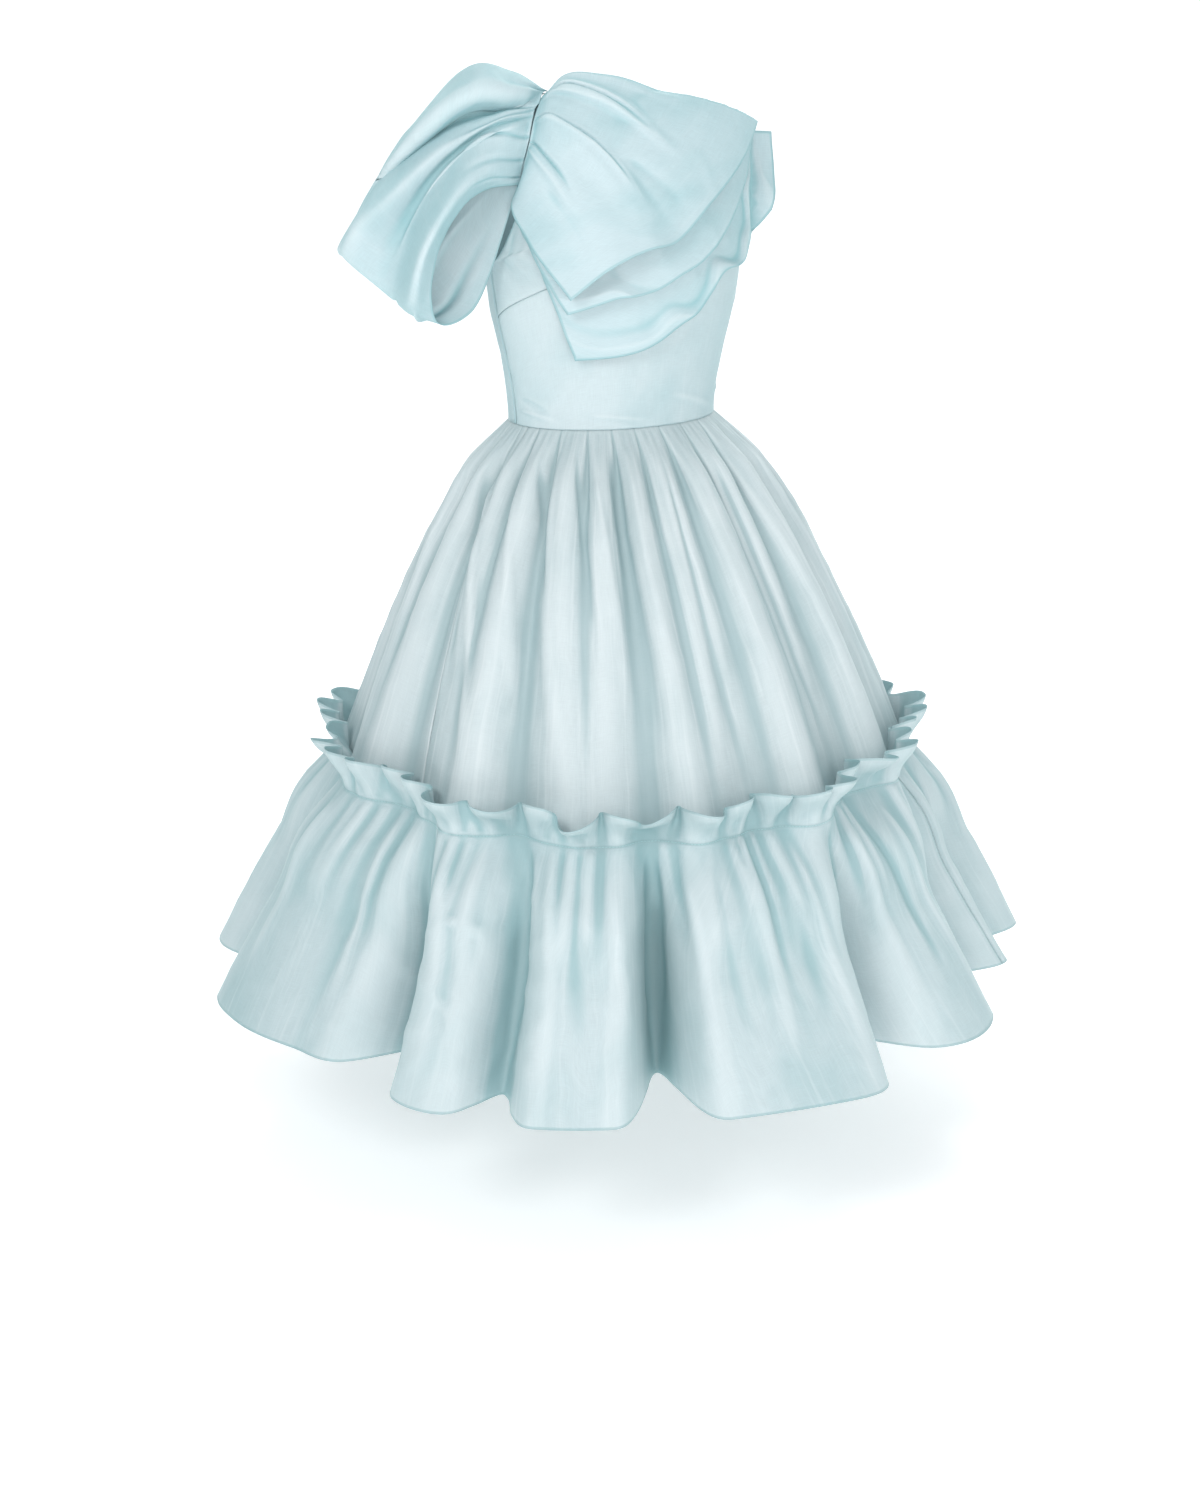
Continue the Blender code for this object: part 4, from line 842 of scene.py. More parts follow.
def crumple(points, cell, height, seed=SEED):
    """Small angular creases between scattered flat patches of cloth, in metres."""
    flat = points.reshape(-1, 3)
    rng = np.random.default_rng(seed)
    low, high = flat.min(axis=0) - cell, flat.max(axis=0) + cell
    near = {tuple(place) for place in np.floor((flat - low) / cell).astype(int).tolist()}
    centres = [low + (np.array(place) + rng.random(3)) * cell for place in sorted(near)]
    tree = KDTree(len(centres))
    for index, centre in enumerate(centres):
        tree.insert(centre, index)
    tree.balance()
    out = np.empty(len(flat))
    for index, place in enumerate(flat.tolist()):
        (_, _, first), (_, _, second) = tree.find_n(place, 2)
        out[index] = (second - first) / cell
    ridge = np.exp(-(out / 0.22) ** 2)
    return (height * ridge).reshape(points.shape[:-1])


def grid_normals(points):
    """Unit normals of a grid of points: its first way runs to the wearer's left."""
    along_u = np.gradient(points, axis=0)
    along_v = np.gradient(points, axis=1)
    normal = np.cross(along_v, along_u)
    return normal / np.maximum(np.linalg.norm(normal, axis=-1, keepdims=True), 1e-12)


def blurred(points, cells, axis):
    """Moving mean of a grid of points along one way of the grid."""
    moved = np.moveaxis(points, axis, 0)
    wide = np.pad(moved, ((cells, cells), (0, 0), (0, 0)), mode="reflect", reflect_type="odd")
    total = np.concatenate([np.zeros_like(wide[:1]), np.cumsum(wide, axis=0)])
    count = 2 * cells + 1
    return np.moveaxis((total[count:] - total[:-count]) / count, 0, axis)


def hollow(points, cells):
    """How far each grid point lies under the cloth around it; less than 0 on a ridge."""
    around = blurred(blurred(points, cells, 0), max(cells // 2, 1), 1)
    return np.sum((around - points) * grid_normals(points), axis=-1)


def painted_shade_and_highlight(points):
    """Mask of painted light: from 1 in the bottom of a fold, which takes painted shade, to -1 on
    a ridge, which takes a painted highlight.
    """
    return np.clip(hollow(points, 3) / SHARP_FOLD + hollow(points, 9) / SOFT_FOLD, -1.0, 1.0)


def edge_distance(points):
    """Distance of each grid point from the grid's nearest edge, along the cloth."""
    du = np.linalg.norm(np.diff(points, axis=0), axis=-1)
    dv = np.linalg.norm(np.diff(points, axis=1), axis=-1)
    u = np.concatenate([np.zeros((1, points.shape[1])), np.cumsum(du, axis=0)])
    v = np.concatenate([np.zeros((points.shape[0], 1)), np.cumsum(dv, axis=1)], axis=1)
    return u, u[-1:] - u, v, v[:, -1:] - v


def add_object(name, data):
    """A new object of the scene, at the origin."""
    made = bpy.data.objects.new(name, data)
    bpy.context.scene.collection.objects.link(made)
    return made


def cloth_piece(name, outer, finish, hems, folds=None, thickness=CLOTH_THICK):
    """A thin closed shell with its outer face on the grid of points, smooth shaded.

    The folds are the same grid before it is crumpled, and give the painted shade in its folds and
    the painted highlight on its ridges."""
    across, down = outer.shape[:2]
    half = across * down
    inner = outer - grid_normals(outer) * thickness
    points = np.concatenate([outer.reshape(-1, 3), inner.reshape(-1, 3)])
    points = points - np.array([SHOULDER_X, 0.0, 0.0])
    index = np.arange(half).reshape(across, down)
    a, b, c, d = index[:-1, :-1], index[:-1, 1:], index[1:, 1:], index[1:, :-1]
    faces = [np.stack([a, b, c, d], -1).reshape(-1, 4),
             np.stack([a, d, c, b], -1).reshape(-1, 4) + half]
    for line, turn in ((index[:, 0], 0), (index[:, -1], 1), (index[0], 1), (index[-1], 0)):
        p, q = (line[:-1], line[1:]) if turn == 0 else (line[1:], line[:-1])
        faces.append(np.stack([p, q, q + half, p + half], -1))
    faces = np.concatenate(faces)
    mesh = bpy.data.meshes.new(name + "_cloth")
    mesh.from_pydata(points.tolist(), [], faces.tolist())
    mesh.update()
    mesh.shade_smooth()
    u_from, u_to, v_from, v_to = edge_distance(outer)
    corners = np.empty(len(mesh.loops), dtype=np.int32)
    mesh.loops.foreach_get("vertex_index", corners)
    flat = u_from / np.maximum(u_from[-1:], 1e-6) * u_from[-1].max()
    layout = np.stack([flat, v_from], -1).reshape(-1, 2)
    layout = np.concatenate([layout, layout])[corners]
    mesh.uv_layers.new(name="cloth").data.foreach_set("uv", layout.astype(np.float32).ravel())
    sides = {"left": u_from, "right": u_to, "top": v_from, "bottom": v_to}
    near = np.min([sides[side] for side in hems], axis=0) if hems else np.full_like(u_from, 1.0)
    near = np.concatenate([near.ravel(), near.ravel()])
    # fold attribute: painted shade in the folds and a painted highlight on the ridges, the other
    # way round on the inner face
    fold = painted_shade_and_highlight(outer if folds is None else folds).ravel()
    fold = np.concatenate([fold, -fold])
    for label, values in (("hem", near), ("fold", fold)):
        attribute = mesh.attributes.new(label, "FLOAT", "POINT")
        attribute.data.foreach_set("value", values.astype(np.float32))
    mesh.materials.append(finish)
    return add_object(name + "_cloth", mesh)


# Materials

# Sockets of the mix node that a colour uses: its inputs, then its output
MIX_SHARE, MIX_BEFORE, MIX_AFTER = 0, 6, 7
MIX_COLOUR = 2


def fill(tree, node, inputs):
    """Give inputs of a node a value of their own, or a socket to follow."""
    for key, value in inputs.items():
        if isinstance(value, bpy.types.NodeSocket):
            tree.links.new(value, node.inputs[key])
        else:
            node.inputs[key].default_value = value


def add_node(tree, kind, inputs=None, **settings):
    """A new node with its settings first, and then its inputs."""
    node = tree.nodes.new(kind)
    for key, value in settings.items():
        setattr(node, key, value)
    fill(tree, node, inputs or {})
    return node


def mapped(tree, value, first, last, low, high):
    """A value stretched from one range to another, as a socket."""
    return add_node(tree, "ShaderNodeMapRange", {
        "Value": value, "From Min": first, "From Max": last, "To Min": low, "To Max": high,
    }).outputs["Result"]


def mixed(tree, share, before, after, blend="MIX"):
    """Two colours mixed, as a socket. Each is a colour or a socket."""
    before, after = ((*colour, 1.0) if isinstance(colour, tuple) else colour
                     for colour in (before, after))
    inputs = {MIX_SHARE: share, MIX_BEFORE: before, MIX_AFTER: after}
    node = add_node(tree, "ShaderNodeMix", inputs, data_type="RGBA", blend_type=blend)
    return node.outputs[MIX_COLOUR]


def stretched_noise(tree, vector, stretch, **inputs):
    """Noise drawn out along the threads, as a socket."""
    scaled = add_node(tree, "ShaderNodeVectorMath", {0: vector, 1: stretch},
                      operation="MULTIPLY")
    inputs["Vector"] = scaled.outputs["Vector"]
    return add_node(tree, "ShaderNodeTexNoise", inputs).outputs["Fac"]


def weave_group():
    """Slubs and crossing threads of the cloth: a shade, a bump height and pale streaks, which are
    painted sheen along the threads.
    """
    group = bpy.data.node_groups.new("Organza threads", "ShaderNodeTree")
    face = group.interface
    face.new_socket("Vector", in_out="INPUT", socket_type="NodeSocketVector")
    for label in ("Shade", "Height", "Sheen streak"):
        face.new_socket(label, in_out="OUTPUT", socket_type="NodeSocketFloat")
    start = group.nodes.new("NodeGroupInput").outputs["Vector"]
    warp, weft = (stretched_noise(group, start, stretch, Scale=900.0, Detail=3.0, Roughness=0.6)
                  for stretch in ((1.0, 0.06, 1.0), (0.06, 1.0, 1.0)))
    both = add_node(group, "ShaderNodeMath", {0: warp, 1: weft}, operation="ADD")
    cloud = add_node(group, "ShaderNodeTexNoise",
                     {"Vector": start, "Scale": 9.0, "Detail": 3.0, "Roughness": 0.5})
    # Pale streaks along the warp: painted sheen, partly the threads' uneven density
    lines = stretched_noise(group, start, (1.0, 0.03, 1.0), Scale=110.0, Detail=2.0,
                            Roughness=0.6)
    add_node(group, "NodeGroupOutput", {
        "Shade": mapped(group, cloud.outputs["Fac"], 0.3, 0.7, 0.0, 1.0),
        "Height": both.outputs["Value"],
        "Sheen streak": mapped(group, lines, 0.52, 0.74, 0.0, 1.0),
    })
    return group


def shade_by(tree, attribute, first, last, most, before, colour):
    """A colour mixed in by a point attribute of the cloth, as a socket."""
    read_in = add_node(tree, "ShaderNodeAttribute", attribute_name=attribute)
    share = mapped(tree, read_in.outputs["Fac"], first, last, 0.0, most)
    return mixed(tree, share, before, colour)


def organza(name, light, deep, sheen_streak, threads):
    """Silky crisp cloth: paler where it faces the eye, deeper at the edge of a fold, with painted
    shade in its folds, a painted highlight on its ridges and pale streaks of painted sheen.
    """
    finish = bpy.data.materials.new(name)
    finish.use_nodes = True
    tree = finish.node_tree
    shader = tree.nodes["Principled BSDF"]
    fill(tree, shader, ORGANZA_SHEEN)
    places = add_node(tree, "ShaderNodeUVMap", uv_map="cloth")
    weave = add_node(tree, "ShaderNodeGroup", {"Vector": places.outputs["UV"]},
                     node_tree=threads)
    facing = add_node(tree, "ShaderNodeLayerWeight", {"Blend": FACING_BLEND})
    colour = mixed(tree, facing.outputs["Facing"], light, deep)
    doubled = mapped(tree, weave.outputs["Shade"], 0.35, 1.0, 0.0, DOUBLED_SHADE)
    colour = mixed(tree, doubled, colour, deep)
    tint = mapped(tree, weave.outputs["Height"], 0.7, 1.3, 0.94, 1.06)
    colour = mixed(tree, 1.0, colour, tint, "MULTIPLY")
    # Pale streaks in the highlight colour: painted sheen
    pale = add_node(tree, "ShaderNodeMath", {0: weave.outputs["Sheen streak"], 1: sheen_streak},
                    operation="MULTIPLY")
    colour = mixed(tree, pale.outputs["Value"], colour, PAINTED_HIGHLIGHT_COLOUR)
    # Painted shade in the bottoms of the folds and a painted highlight on the ridges, by the fold
    # attribute
    colour = shade_by(tree, "fold", 0.05, 1.0, FOLD_SHADE, colour, deep)
    colour = shade_by(tree, "fold", -0.35, -1.0, PAINTED_HIGHLIGHT_SHARE, colour, PAINTED_HIGHLIGHT_COLOUR)
    colour = shade_by(tree, "hem", NARROW_HEM * 1.2, NARROW_HEM * 0.8, HEM_SHADE, colour, deep)
    bump = add_node(tree, "ShaderNodeBump", {
        "Strength": THREAD_BUMP, "Distance": THREAD_HEIGHT, "Height": weave.outputs["Height"],
    })
    fill(tree, shader, {"Base Color": colour, "Normal": bump.outputs["Normal"]})
    return finish


def plain(name, colour, roughness, metallic=0.0, glow=0.0):
    """A material of one colour, which may give off some white light."""
    finish = bpy.data.materials.new(name)
    finish.use_nodes = True
    values = {"Base Color": (*colour, 1.0), "Roughness": roughness, "Metallic": metallic}
    if glow:
        values.update({"Emission Color": (1.0, 1.0, 1.0, 1.0), "Emission Strength": glow})
    fill(finish.node_tree, finish.node_tree.nodes["Principled BSDF"], values)
    return finish


def finish_named(name):
    """The look of a material slot, made when it is first asked for."""
    made = bpy.data.materials.get("look_" + name)
    if made:
        return made
    threads = bpy.data.node_groups.get("Organza threads") or weave_group()
    if name in CLOTH_COLOURS:
        light, deep, sheen_streak = CLOTH_COLOURS[name]
        return organza("look_" + name, light, deep, sheen_streak, threads)
    colour, rough, metallic = PLAIN_LOOKS[name]
    return plain("look_" + name, colour, rough, metallic)


ORGANZA_SHEEN = {
    "Roughness": 0.52,
    "Sheen Weight": 0.28,
    "Sheen Roughness": 0.35,
    "Sheen Tint": (0.92, 1.0, 1.0, 1.0),
    "Specular IOR Level": 0.32,
    "Anisotropic": 0.4,
}
# Colour of the painted highlights on ridges and of the painted sheen streaks
PAINTED_HIGHLIGHT_COLOUR = (0.74, 0.80, 0.81)
FACING_BLEND = 0.32          # how soon a slanting face turns to the deep colour
DOUBLED_SHADE = 0.30         # most of the deep colour in the cloud of doubled cloth,
FOLD_SHADE = 0.62            # in a fold, as painted shade
HEM_SHADE = 0.45             # and in a hem
PAINTED_HIGHLIGHT_SHARE = 0.25           # most of the painted highlight colour on a ridge
THREAD_BUMP = 0.10
THREAD_HEIGHT = 0.0003
# Each cloth: its colour to the eye, its deep colour, which is also its painted shade in the
# folds, and how clear its pale streaks of painted sheen are
CLOTH_COLOURS = {
    "bodice_cloth": ((0.545, 0.640, 0.662), (0.25, 0.45, 0.48), 0.06),
    "skirt_cloth": ((0.560, 0.640, 0.655), (0.30, 0.43, 0.45), 0.36),
    "flounce_cloth": ((0.525, 0.622, 0.642), (0.25, 0.43, 0.45), 0.20),
    "bow_cloth": ((0.530, 0.650, 0.680), (0.22, 0.47, 0.50), 0.06),
}
# Colour, roughness and metallic share
PLAIN_LOOKS = {
    "zip_tape": ((0.55, 0.75, 0.76), 0.6, 0.0),
    "zip_metal": ((0.72, 0.74, 0.76), 0.25, 1.0),
    "thread": ((0.50, 0.74, 0.75), 0.6, 0.0),
}


# Pieces

# Grid of each cloth: steps across and down, or degrees to a step where it goes round
BODICE_GRID = (96, 84)
LAYER_GRID = (110, 110)
LOOP_GRID = (230, 130)
TIER_STEP = 0.55
TIER_DOWN = 72
TIER_CROWDING = 1.25         # above 1, its rows lie closer together at the waist
FLOUNCE_STEP = 0.42
HEADING_DOWN = 14
FLOUNCE_DOWN = 60
# Crumple of each cloth: distance between flat patches, height of the creases between them
CRUMPLE = {
    "bodice_cloth": (0.050, 0.0005),
    "skirt_cloth": (0.070, 0.0008),
    "flounce_cloth": (0.070, 0.0016),
    "bow_cloth": (0.060, 0.0006),
}
CALM_AT_TOP = 0.2            # share of the way down over which skirt and flounce get theirs
# Most crumpled stretch of the flounce: its middle and width in degrees, how much it has
CRUMPLED_AT = -58.0
CRUMPLED_WIDTH = 22.0
CRUMPLED_LEAST = 0.45
CRUMPLED_MORE = 0.75
# How wide and how deep cloth sinks into a seam, and how a lower edge stands up from one
BODICE_SEAM = (0.0022, 0.0007)
SKIRT_SEAM = (0.003, 0.0012)
WAIST_SEAM = (0.010, 0.0004)         # width here is a share of the tier
STITCH_SEAM = (0.012, 0.0012)        # and here one of the flounce
EDGE_ROLL = 0.0006
EDGE_ROLL_WIDTH = 0.004
# Small gathers at the waist: how many, how unevenly, height, shares where they set in and end
WAIST_GATHERS = 83
WAIST_WANDER = ((4, 0.9, 0.2), (9, 0.6, 2.0), (15, 0.5, 1.1))
WAIST_GATHER_HEIGHT = 0.0005
WAIST_GATHERS_IN = 0.015
WAIST_GATHERS_OUT = 0.12
# Tuck at each groove of the waist: where it starts and ends, drift in degrees, and its bend,
# half width and height
TUCK_FROM = -0.02
TUCK_TO = 0.26
TUCK_DRIFT = 1.0
TUCK_FORM = (0.3, 0.75, -2.6)
# Degrees round the body that count as much as the whole way down, in the crease tables
TIER_DEGREES = 100.0
FLOUNCE_DEGREES = 40.0
# Small gathers of the flounce: how uneven, where they are strong, height, how far they reach
GATHER_WANDER = ((7, 1.6, 0.4), (13, 1.1, 1.7), (22, 0.8, 3.0))
STRONG_GATHERS = 17
STRONG_WANDER = ((3, 1.1, 0.9), (7, 0.8, 2.2))
GATHER_HEIGHT = 0.0022
GATHER_REACH = 0.16
STRONG_REACH = 0.50
HEADING_GATHER_HEIGHT = 0.0010


def panel_grid(surface, across, down):
    """Grid of points of a panel, and its own two places at each.

    Down is a count of even steps, or the places of the rows themselves."""
    rows = even(down) if isinstance(down, int) else down
    u, v = np.meshgrid(even(across), rows, indexing="ij")
    return surface(u, v), u, v


def seam_dip(distance, width, depth):
    """Cloth sinks a little into a stitched seam."""
    return -depth * np.exp(-(distance / width) ** 2)


def raised(points, height):
    """Points of a grid moved out of the cloth."""
    return points + grid_normals(points) * height[..., None]


def panels_round(names, seams, step):
    """Name, first and last angle and steps across of each panel between seams."""
    first, second, back = seams
    for name, start, stop in zip(names, (first, second, back - 360.0), (second, back, first)):
        yield name, start, stop, round((stop - start) / step)


def show(piece, node):
    """Say what a piece moves with and what it takes the place of."""
    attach(piece, "gown")
    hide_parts(node)


def add_cloth(name, points, painted_shade_grid, slot, hems):
    """Build a piece of cloth, move it with the gown and hide the solid that it takes the place
    of.
    """
    piece = cloth_piece(name, points, finish_named(slot), hems, painted_shade_grid)
    show(piece, name)


def build_bodice(settings):
    panels = {
        "bodice_front_upper": (upper_front, ("left", "right", "top")),
        "bodice_front_lower": (lower_front, ()),
        "bodice_back_right": (right_back, ("right",)),
        "bodice_back_left": (left_back, ("top",)),
    }
    for name, (surface, hems) in panels.items():
        points, u, v = panel_grid(surface, *BODICE_GRID)
        u_from, u_to, v_from, v_to = edge_distance(points)
        height = creases(BODICE_CREASES[name], u, v) * settings.crease_depth
        painted_shade_grid = raised(points, height)
        height = height + crumple(points, *CRUMPLE["bodice_cloth"]) * settings.crumple
        for distance in (u_from, u_to, v_from):
            height = height + seam_dip(distance, *BODICE_SEAM)
        if name != "bodice_front_upper":
            height = height + EDGE_ROLL * np.exp(-(v_to / EDGE_ROLL_WIDTH) ** 2)
        add_cloth(name, raised(points, height), painted_shade_grid, "bodice_cloth", hems)


def tier_detail(angle, share, settings):
    """Small gathers and tucks at the waist and listed long folds."""
    gathers = np.sin(wandering(angle, WAIST_GATHERS, WAIST_WANDER))
    height = (WAIST_GATHER_HEIGHT * gathers * ease(share / WAIST_GATHERS_IN)
              * (1 - ease(share / WAIST_GATHERS_OUT)))
    tucks = [(groove, TUCK_FROM, groove + TUCK_DRIFT, TUCK_TO, *TUCK_FORM)
             for groove in PLEAT_GROOVES]
    height = height + creases(tucks, angle, share, TIER_DEGREES)
    height = height + creases(TIER_CREASES, angle, share, TIER_DEGREES) * settings.crease_depth
    return height + seam_dip(share, *WAIST_SEAM)


def flounce_detail(angle, along, settings):
    """Gathers at the stitch line and listed folds."""
    down = np.clip(along, 0.0, None)
    up = np.clip(-along, 0.0, None)
    gathers = np.sin(wandering(angle, 2 * RUFFLES, GATHER_WANDER))
    strong = (0.5 + 0.5 * np.cos(wandering(angle, STRONG_GATHERS, STRONG_WANDER))) ** 1.5
    reach = GATHER_REACH + STRONG_REACH * strong
    height = GATHER_HEIGHT * gathers * strong * ease(down / 0.03) * (1 - ease(down / reach))
    height = height + HEADING_GATHER_HEIGHT * gathers * ease(up / 0.15) * (1 - 0.4 * up)
    folds = creases(FLOUNCE_CREASES, angle, along, FLOUNCE_DEGREES)
    height = height + folds * settings.crease_depth
    return height + seam_dip(along, *STITCH_SEAM)


def round_cloth(surface, first, last, across, rows, detail, slot, settings):
    """Points of a panel that goes round the body, and its grid before it is crumpled, which sets
    its painted shade and highlights.
    """
    points, u, v = panel_grid(surface, across, rows)
    angle = first + (last - first) * u
    u_from, u_to, _, _ = edge_distance(points)
    height = detail(angle, v, settings) * ease(np.minimum(u_from, u_to) / SEAM_CALM)
    painted_shade_grid = raised(points, height)
    crumpled = crumple(points, *CRUMPLE[slot]) * settings.crumple * ease(v / CALM_AT_TOP)
    if slot == "flounce_cloth":
        near = np.exp(-((angle - CRUMPLED_AT) / CRUMPLED_WIDTH) ** 2)
        crumpled = crumpled * (CRUMPLED_LEAST + CRUMPLED_MORE * near)
    height = height + crumpled + seam_dip(u_from, *SKIRT_SEAM) + seam_dip(u_to, *SKIRT_SEAM)
    return raised(points, height), painted_shade_grid


def build_skirt(settings):
    names = ("skirt_front", "skirt_back_left", "skirt_back_right")
    rows = even(TIER_DOWN) ** TIER_CROWDING
    for name, first, last, across in panels_round(names, TIER_SEAMS, TIER_STEP):
        points, painted_shade_grid = round_cloth(tier_panel(first, last), first, last, across, rows,
                                     tier_detail, "skirt_cloth", settings)
        points[:, 0] += (points[:, 0] - points[:, 2]) * (1, 1, 0) * WAIST_TUCK_IN
        points[:, 0, 2] += WAIST_TUCK
        add_cloth(name, points, painted_shade_grid, "skirt_cloth", ())


def build_flounce(settings):
    names = ("flounce_front", "flounce_left", "flounce_right")
    rows = np.concatenate([-1.0 + even(HEADING_DOWN)[:-1], even(FLOUNCE_DOWN)])
    for name, first, last, across in panels_round(names, FLOUNCE_SEAMS, FLOUNCE_STEP):
        points, painted_shade_grid = round_cloth(flounce_panel(first, last), first, last, across, rows,
                                     flounce_detail, "flounce_cloth", settings)
        add_cloth(name, points, painted_shade_grid, "flounce_cloth", ("top", "bottom"))


def build_bow_cloth(name, surface, grid, table, hems, settings):
    """One cloth of the bow, with its creases and its crumple."""
    points, u, v = panel_grid(surface, *grid)
    height = creases(table, u, v) * settings.crease_depth
    painted_shade_grid = raised(points, height)
    height = height + crumple(points, *CRUMPLE["bow_cloth"]) * settings.crumple
    add_cloth(name, raised(points, height), painted_shade_grid, "bow_cloth", hems)


def build_bow_layers(settings):
    tree = skin_tree()
    for name in LAYER_EDGES:
        build_bow_cloth(name, layer_surface(name, tree), LAYER_GRID, LAYER_CREASES[name],
                        ("right", "bottom", "top"), settings)


def build_loop(settings):
    build_bow_cloth("bow_loop", loop_surface(skin_tree()), LOOP_GRID, LOOP_CREASES,
                    ("top", "bottom"), settings)


# Stitches, placed by Geometry Nodes, and zip

STITCH_LIFT = 0.0002         # the stitch line lies this far off the cloth
STITCH_LONG = 0.003
THREAD_RADIUS = 0.00022
ZIP_ROWS_BACK = 60           # rows of the teeth down to the waist, and below it
ZIP_ROWS_BELOW = 30
METAL_EDGE = 0.00012         # rounding of the slider's and the tab's edges


def stitch_nodes():
    """Short threads at even steps along a line, each turned to lie along it."""
    group = bpy.data.node_groups.new("Stitches", "GeometryNodeTree")
    face = group.interface
    face.new_socket("Geometry", in_out="INPUT", socket_type="NodeSocketGeometry")
    for label, value in (("Step", 0.004), ("Length", 0.0026), ("Radius", 0.0002)):
        socket = face.new_socket(label, in_out="INPUT", socket_type="NodeSocketFloat")
        socket.default_value = value
        socket.subtype = "DISTANCE"
    face.new_socket("Material", in_out="INPUT", socket_type="NodeSocketMaterial")
    face.new_socket("Geometry", in_out="OUTPUT", socket_type="NodeSocketGeometry")
    given = group.nodes.new("NodeGroupInput").outputs
    curve = add_node(group, "GeometryNodeMeshToCurve", {"Mesh": given["Geometry"]})
    evenly = add_node(group, "GeometryNodeResampleCurve",
                      {"Curve": curve.outputs["Curve"], "Length": given["Step"]}, mode="LENGTH")
    thread = add_node(group, "GeometryNodeMeshCylinder",
                      {"Vertices": 6, "Radius": given["Radius"], "Depth": given["Length"]})
    tangent = group.nodes.new("GeometryNodeInputTangent")
    turn = add_node(group, "FunctionNodeAlignRotationToVector",
                    {"Vector": tangent.outputs["Tangent"]}, axis="Z")
    placed = add_node(group, "GeometryNodeInstanceOnPoints", {
        "Points": evenly.outputs["Curve"],
        "Instance": thread.outputs["Mesh"],
        "Rotation": turn.outputs["Rotation"],
    })
    real = add_node(group, "GeometryNodeRealizeInstances",
                    {"Geometry": placed.outputs["Instances"]})
    coloured = add_node(group, "GeometryNodeSetMaterial", {
        "Geometry": real.outputs["Geometry"], "Material": given["Material"],
    })
    add_node(group, "NodeGroupOutput", {"Geometry": coloured.outputs["Geometry"]})
    return group


def stitched(name, lines, step, length, radius, finish):
    """One plain mesh of stitches along lines of points given about the body's axis."""
    points, edges = [], []
    for line in lines:
        line = np.asarray(line) - np.array([SHOULDER_X, 0.0, 0.0])
        first = len(points)
        points += line.tolist()
        edges += [(first + i, first + i + 1) for i in range(len(line) - 1)]
    guide_mesh = bpy.data.meshes.new(name + "_guide")
    guide_mesh.from_pydata(points, edges, [])
    guide = add_object(name + "_guide", guide_mesh)
    group = bpy.data.node_groups.get("Stitches") or stitch_nodes()
    modifier = guide.modifiers.new("stitches", "NODES")
    modifier.node_group = group
    values = {"Step": step, "Length": length, "Radius": radius, "Material": finish}
    for item in group.interface.items_tree:
        if item.item_type == "SOCKET" and item.in_out == "INPUT" and item.name in values:
            modifier[item.identifier] = values[item.name]
    guide.update_tag()
    settled = guide.evaluated_get(bpy.context.evaluated_depsgraph_get())
    mesh = bpy.data.meshes.new_from_object(settled)
    mesh.name = name
    bpy.data.objects.remove(guide, do_unlink=True)
    if not mesh.polygons:
        raise RuntimeError(name + " has no stitches")
    mesh.shade_smooth()
    return add_object(name, mesh)


def surface_line(surface, u, v, out):
    """Points along a surface, lifted a little off it."""
    return surface(u, v) + normals(surface, u, v) * out


def build_stitches(settings):
    thread = finish_named("thread")
    turn = np.linspace(-180.0, 180.0, 721)
    lines = [surface_line(flounce_point, turn, np.zeros_like(turn), STITCH_LIFT)]
    piece = stitched("flounce_stitches", lines, settings.stitch_step, STITCH_LONG,
                     THREAD_RADIUS, thread)
    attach(piece, "gown")


def build_zip(settings):
    rows = np.concatenate([even(ZIP_ROWS_BACK) - 1.0,
                           np.linspace(0.02, ZIP_END, ZIP_ROWS_BELOW)])
    tape, _, _ = panel_grid(zip_surface, 4, rows)
    piece = cloth_piece("zip_teeth", tape, finish_named("zip_tape"), (), thickness=ZIP_THICK)
    show(piece, "zip_teeth")
    metal = finish_named("zip_metal")
    for node in ("zip_slider", "zip_pull"):
        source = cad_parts[node]
        mesh = source.data.copy()
        mesh.materials.clear()
        mesh.materials.append(metal)
        piece = add_object(node + "_look", mesh)
        soft = piece.modifiers.new("rounded edges", "BEVEL")
        soft.width = METAL_EDGE
        soft.segments = 2
        soft.limit_method = "ANGLE"
        soft.angle_limit = math.radians(30)
        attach(piece, "pull" if node == "zip_pull" else "gown")
        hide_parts(node)


# Stage

CAMERA_TURN = 30.0           # degrees from the front, towards the wearer's right
CAMERA_TILT = 17.74          # degrees that it looks down
CAMERA_AWAY = 3.29           # level distance from the body's axis
CAMERA_HIGH = 0.231
CAMERA_SIDE = 0.01468
CAMERA_LENS = 64.54          # in millimetres, on a sensor of 36
FLOOR_DROP = 0.205           # the wearer's feet reach this far below the hem
# Backdrop: where it starts before the gown, where its curve up begins, the curve's radius,
# its height and its half width
BACKDROP_START = -8.0
BACKDROP_CURVE_AT = 4.0
BACKDROP_RADIUS = 2.0
BACKDROP_HIGH = 9.0
BACKDROP_HALF = 9.0
PAPER = (0.93, 0.93, 0.93)
PAPER_GLOW = 0.36
# Lamps: name, place, size and power
LAMPS = (
    ("key", (-2.9, -1.9, 1.6), 1.2, 50.0),
    ("front", (-0.9, -3.2, 0.0), 1.6, 20.0),
    ("fill", (2.6, -3.0, 0.6), 2.4, 22.0),
    ("top", (0.4, 0.6, 3.0), 2.0, 30.0),
    ("rim", (2.6, 1.8, 1.2), 1.6, 26.0),
)
LAMP_AIM = (0.1, 0.0, -0.5)
SKY = (0.95, 0.97, 1.0, 1.0)
SKY_STRENGTH = 0.58


def aimed(way):
    """Turn of a camera or a lamp that looks along a way."""
    return way.to_track_quat("-Z", "Y").to_euler()


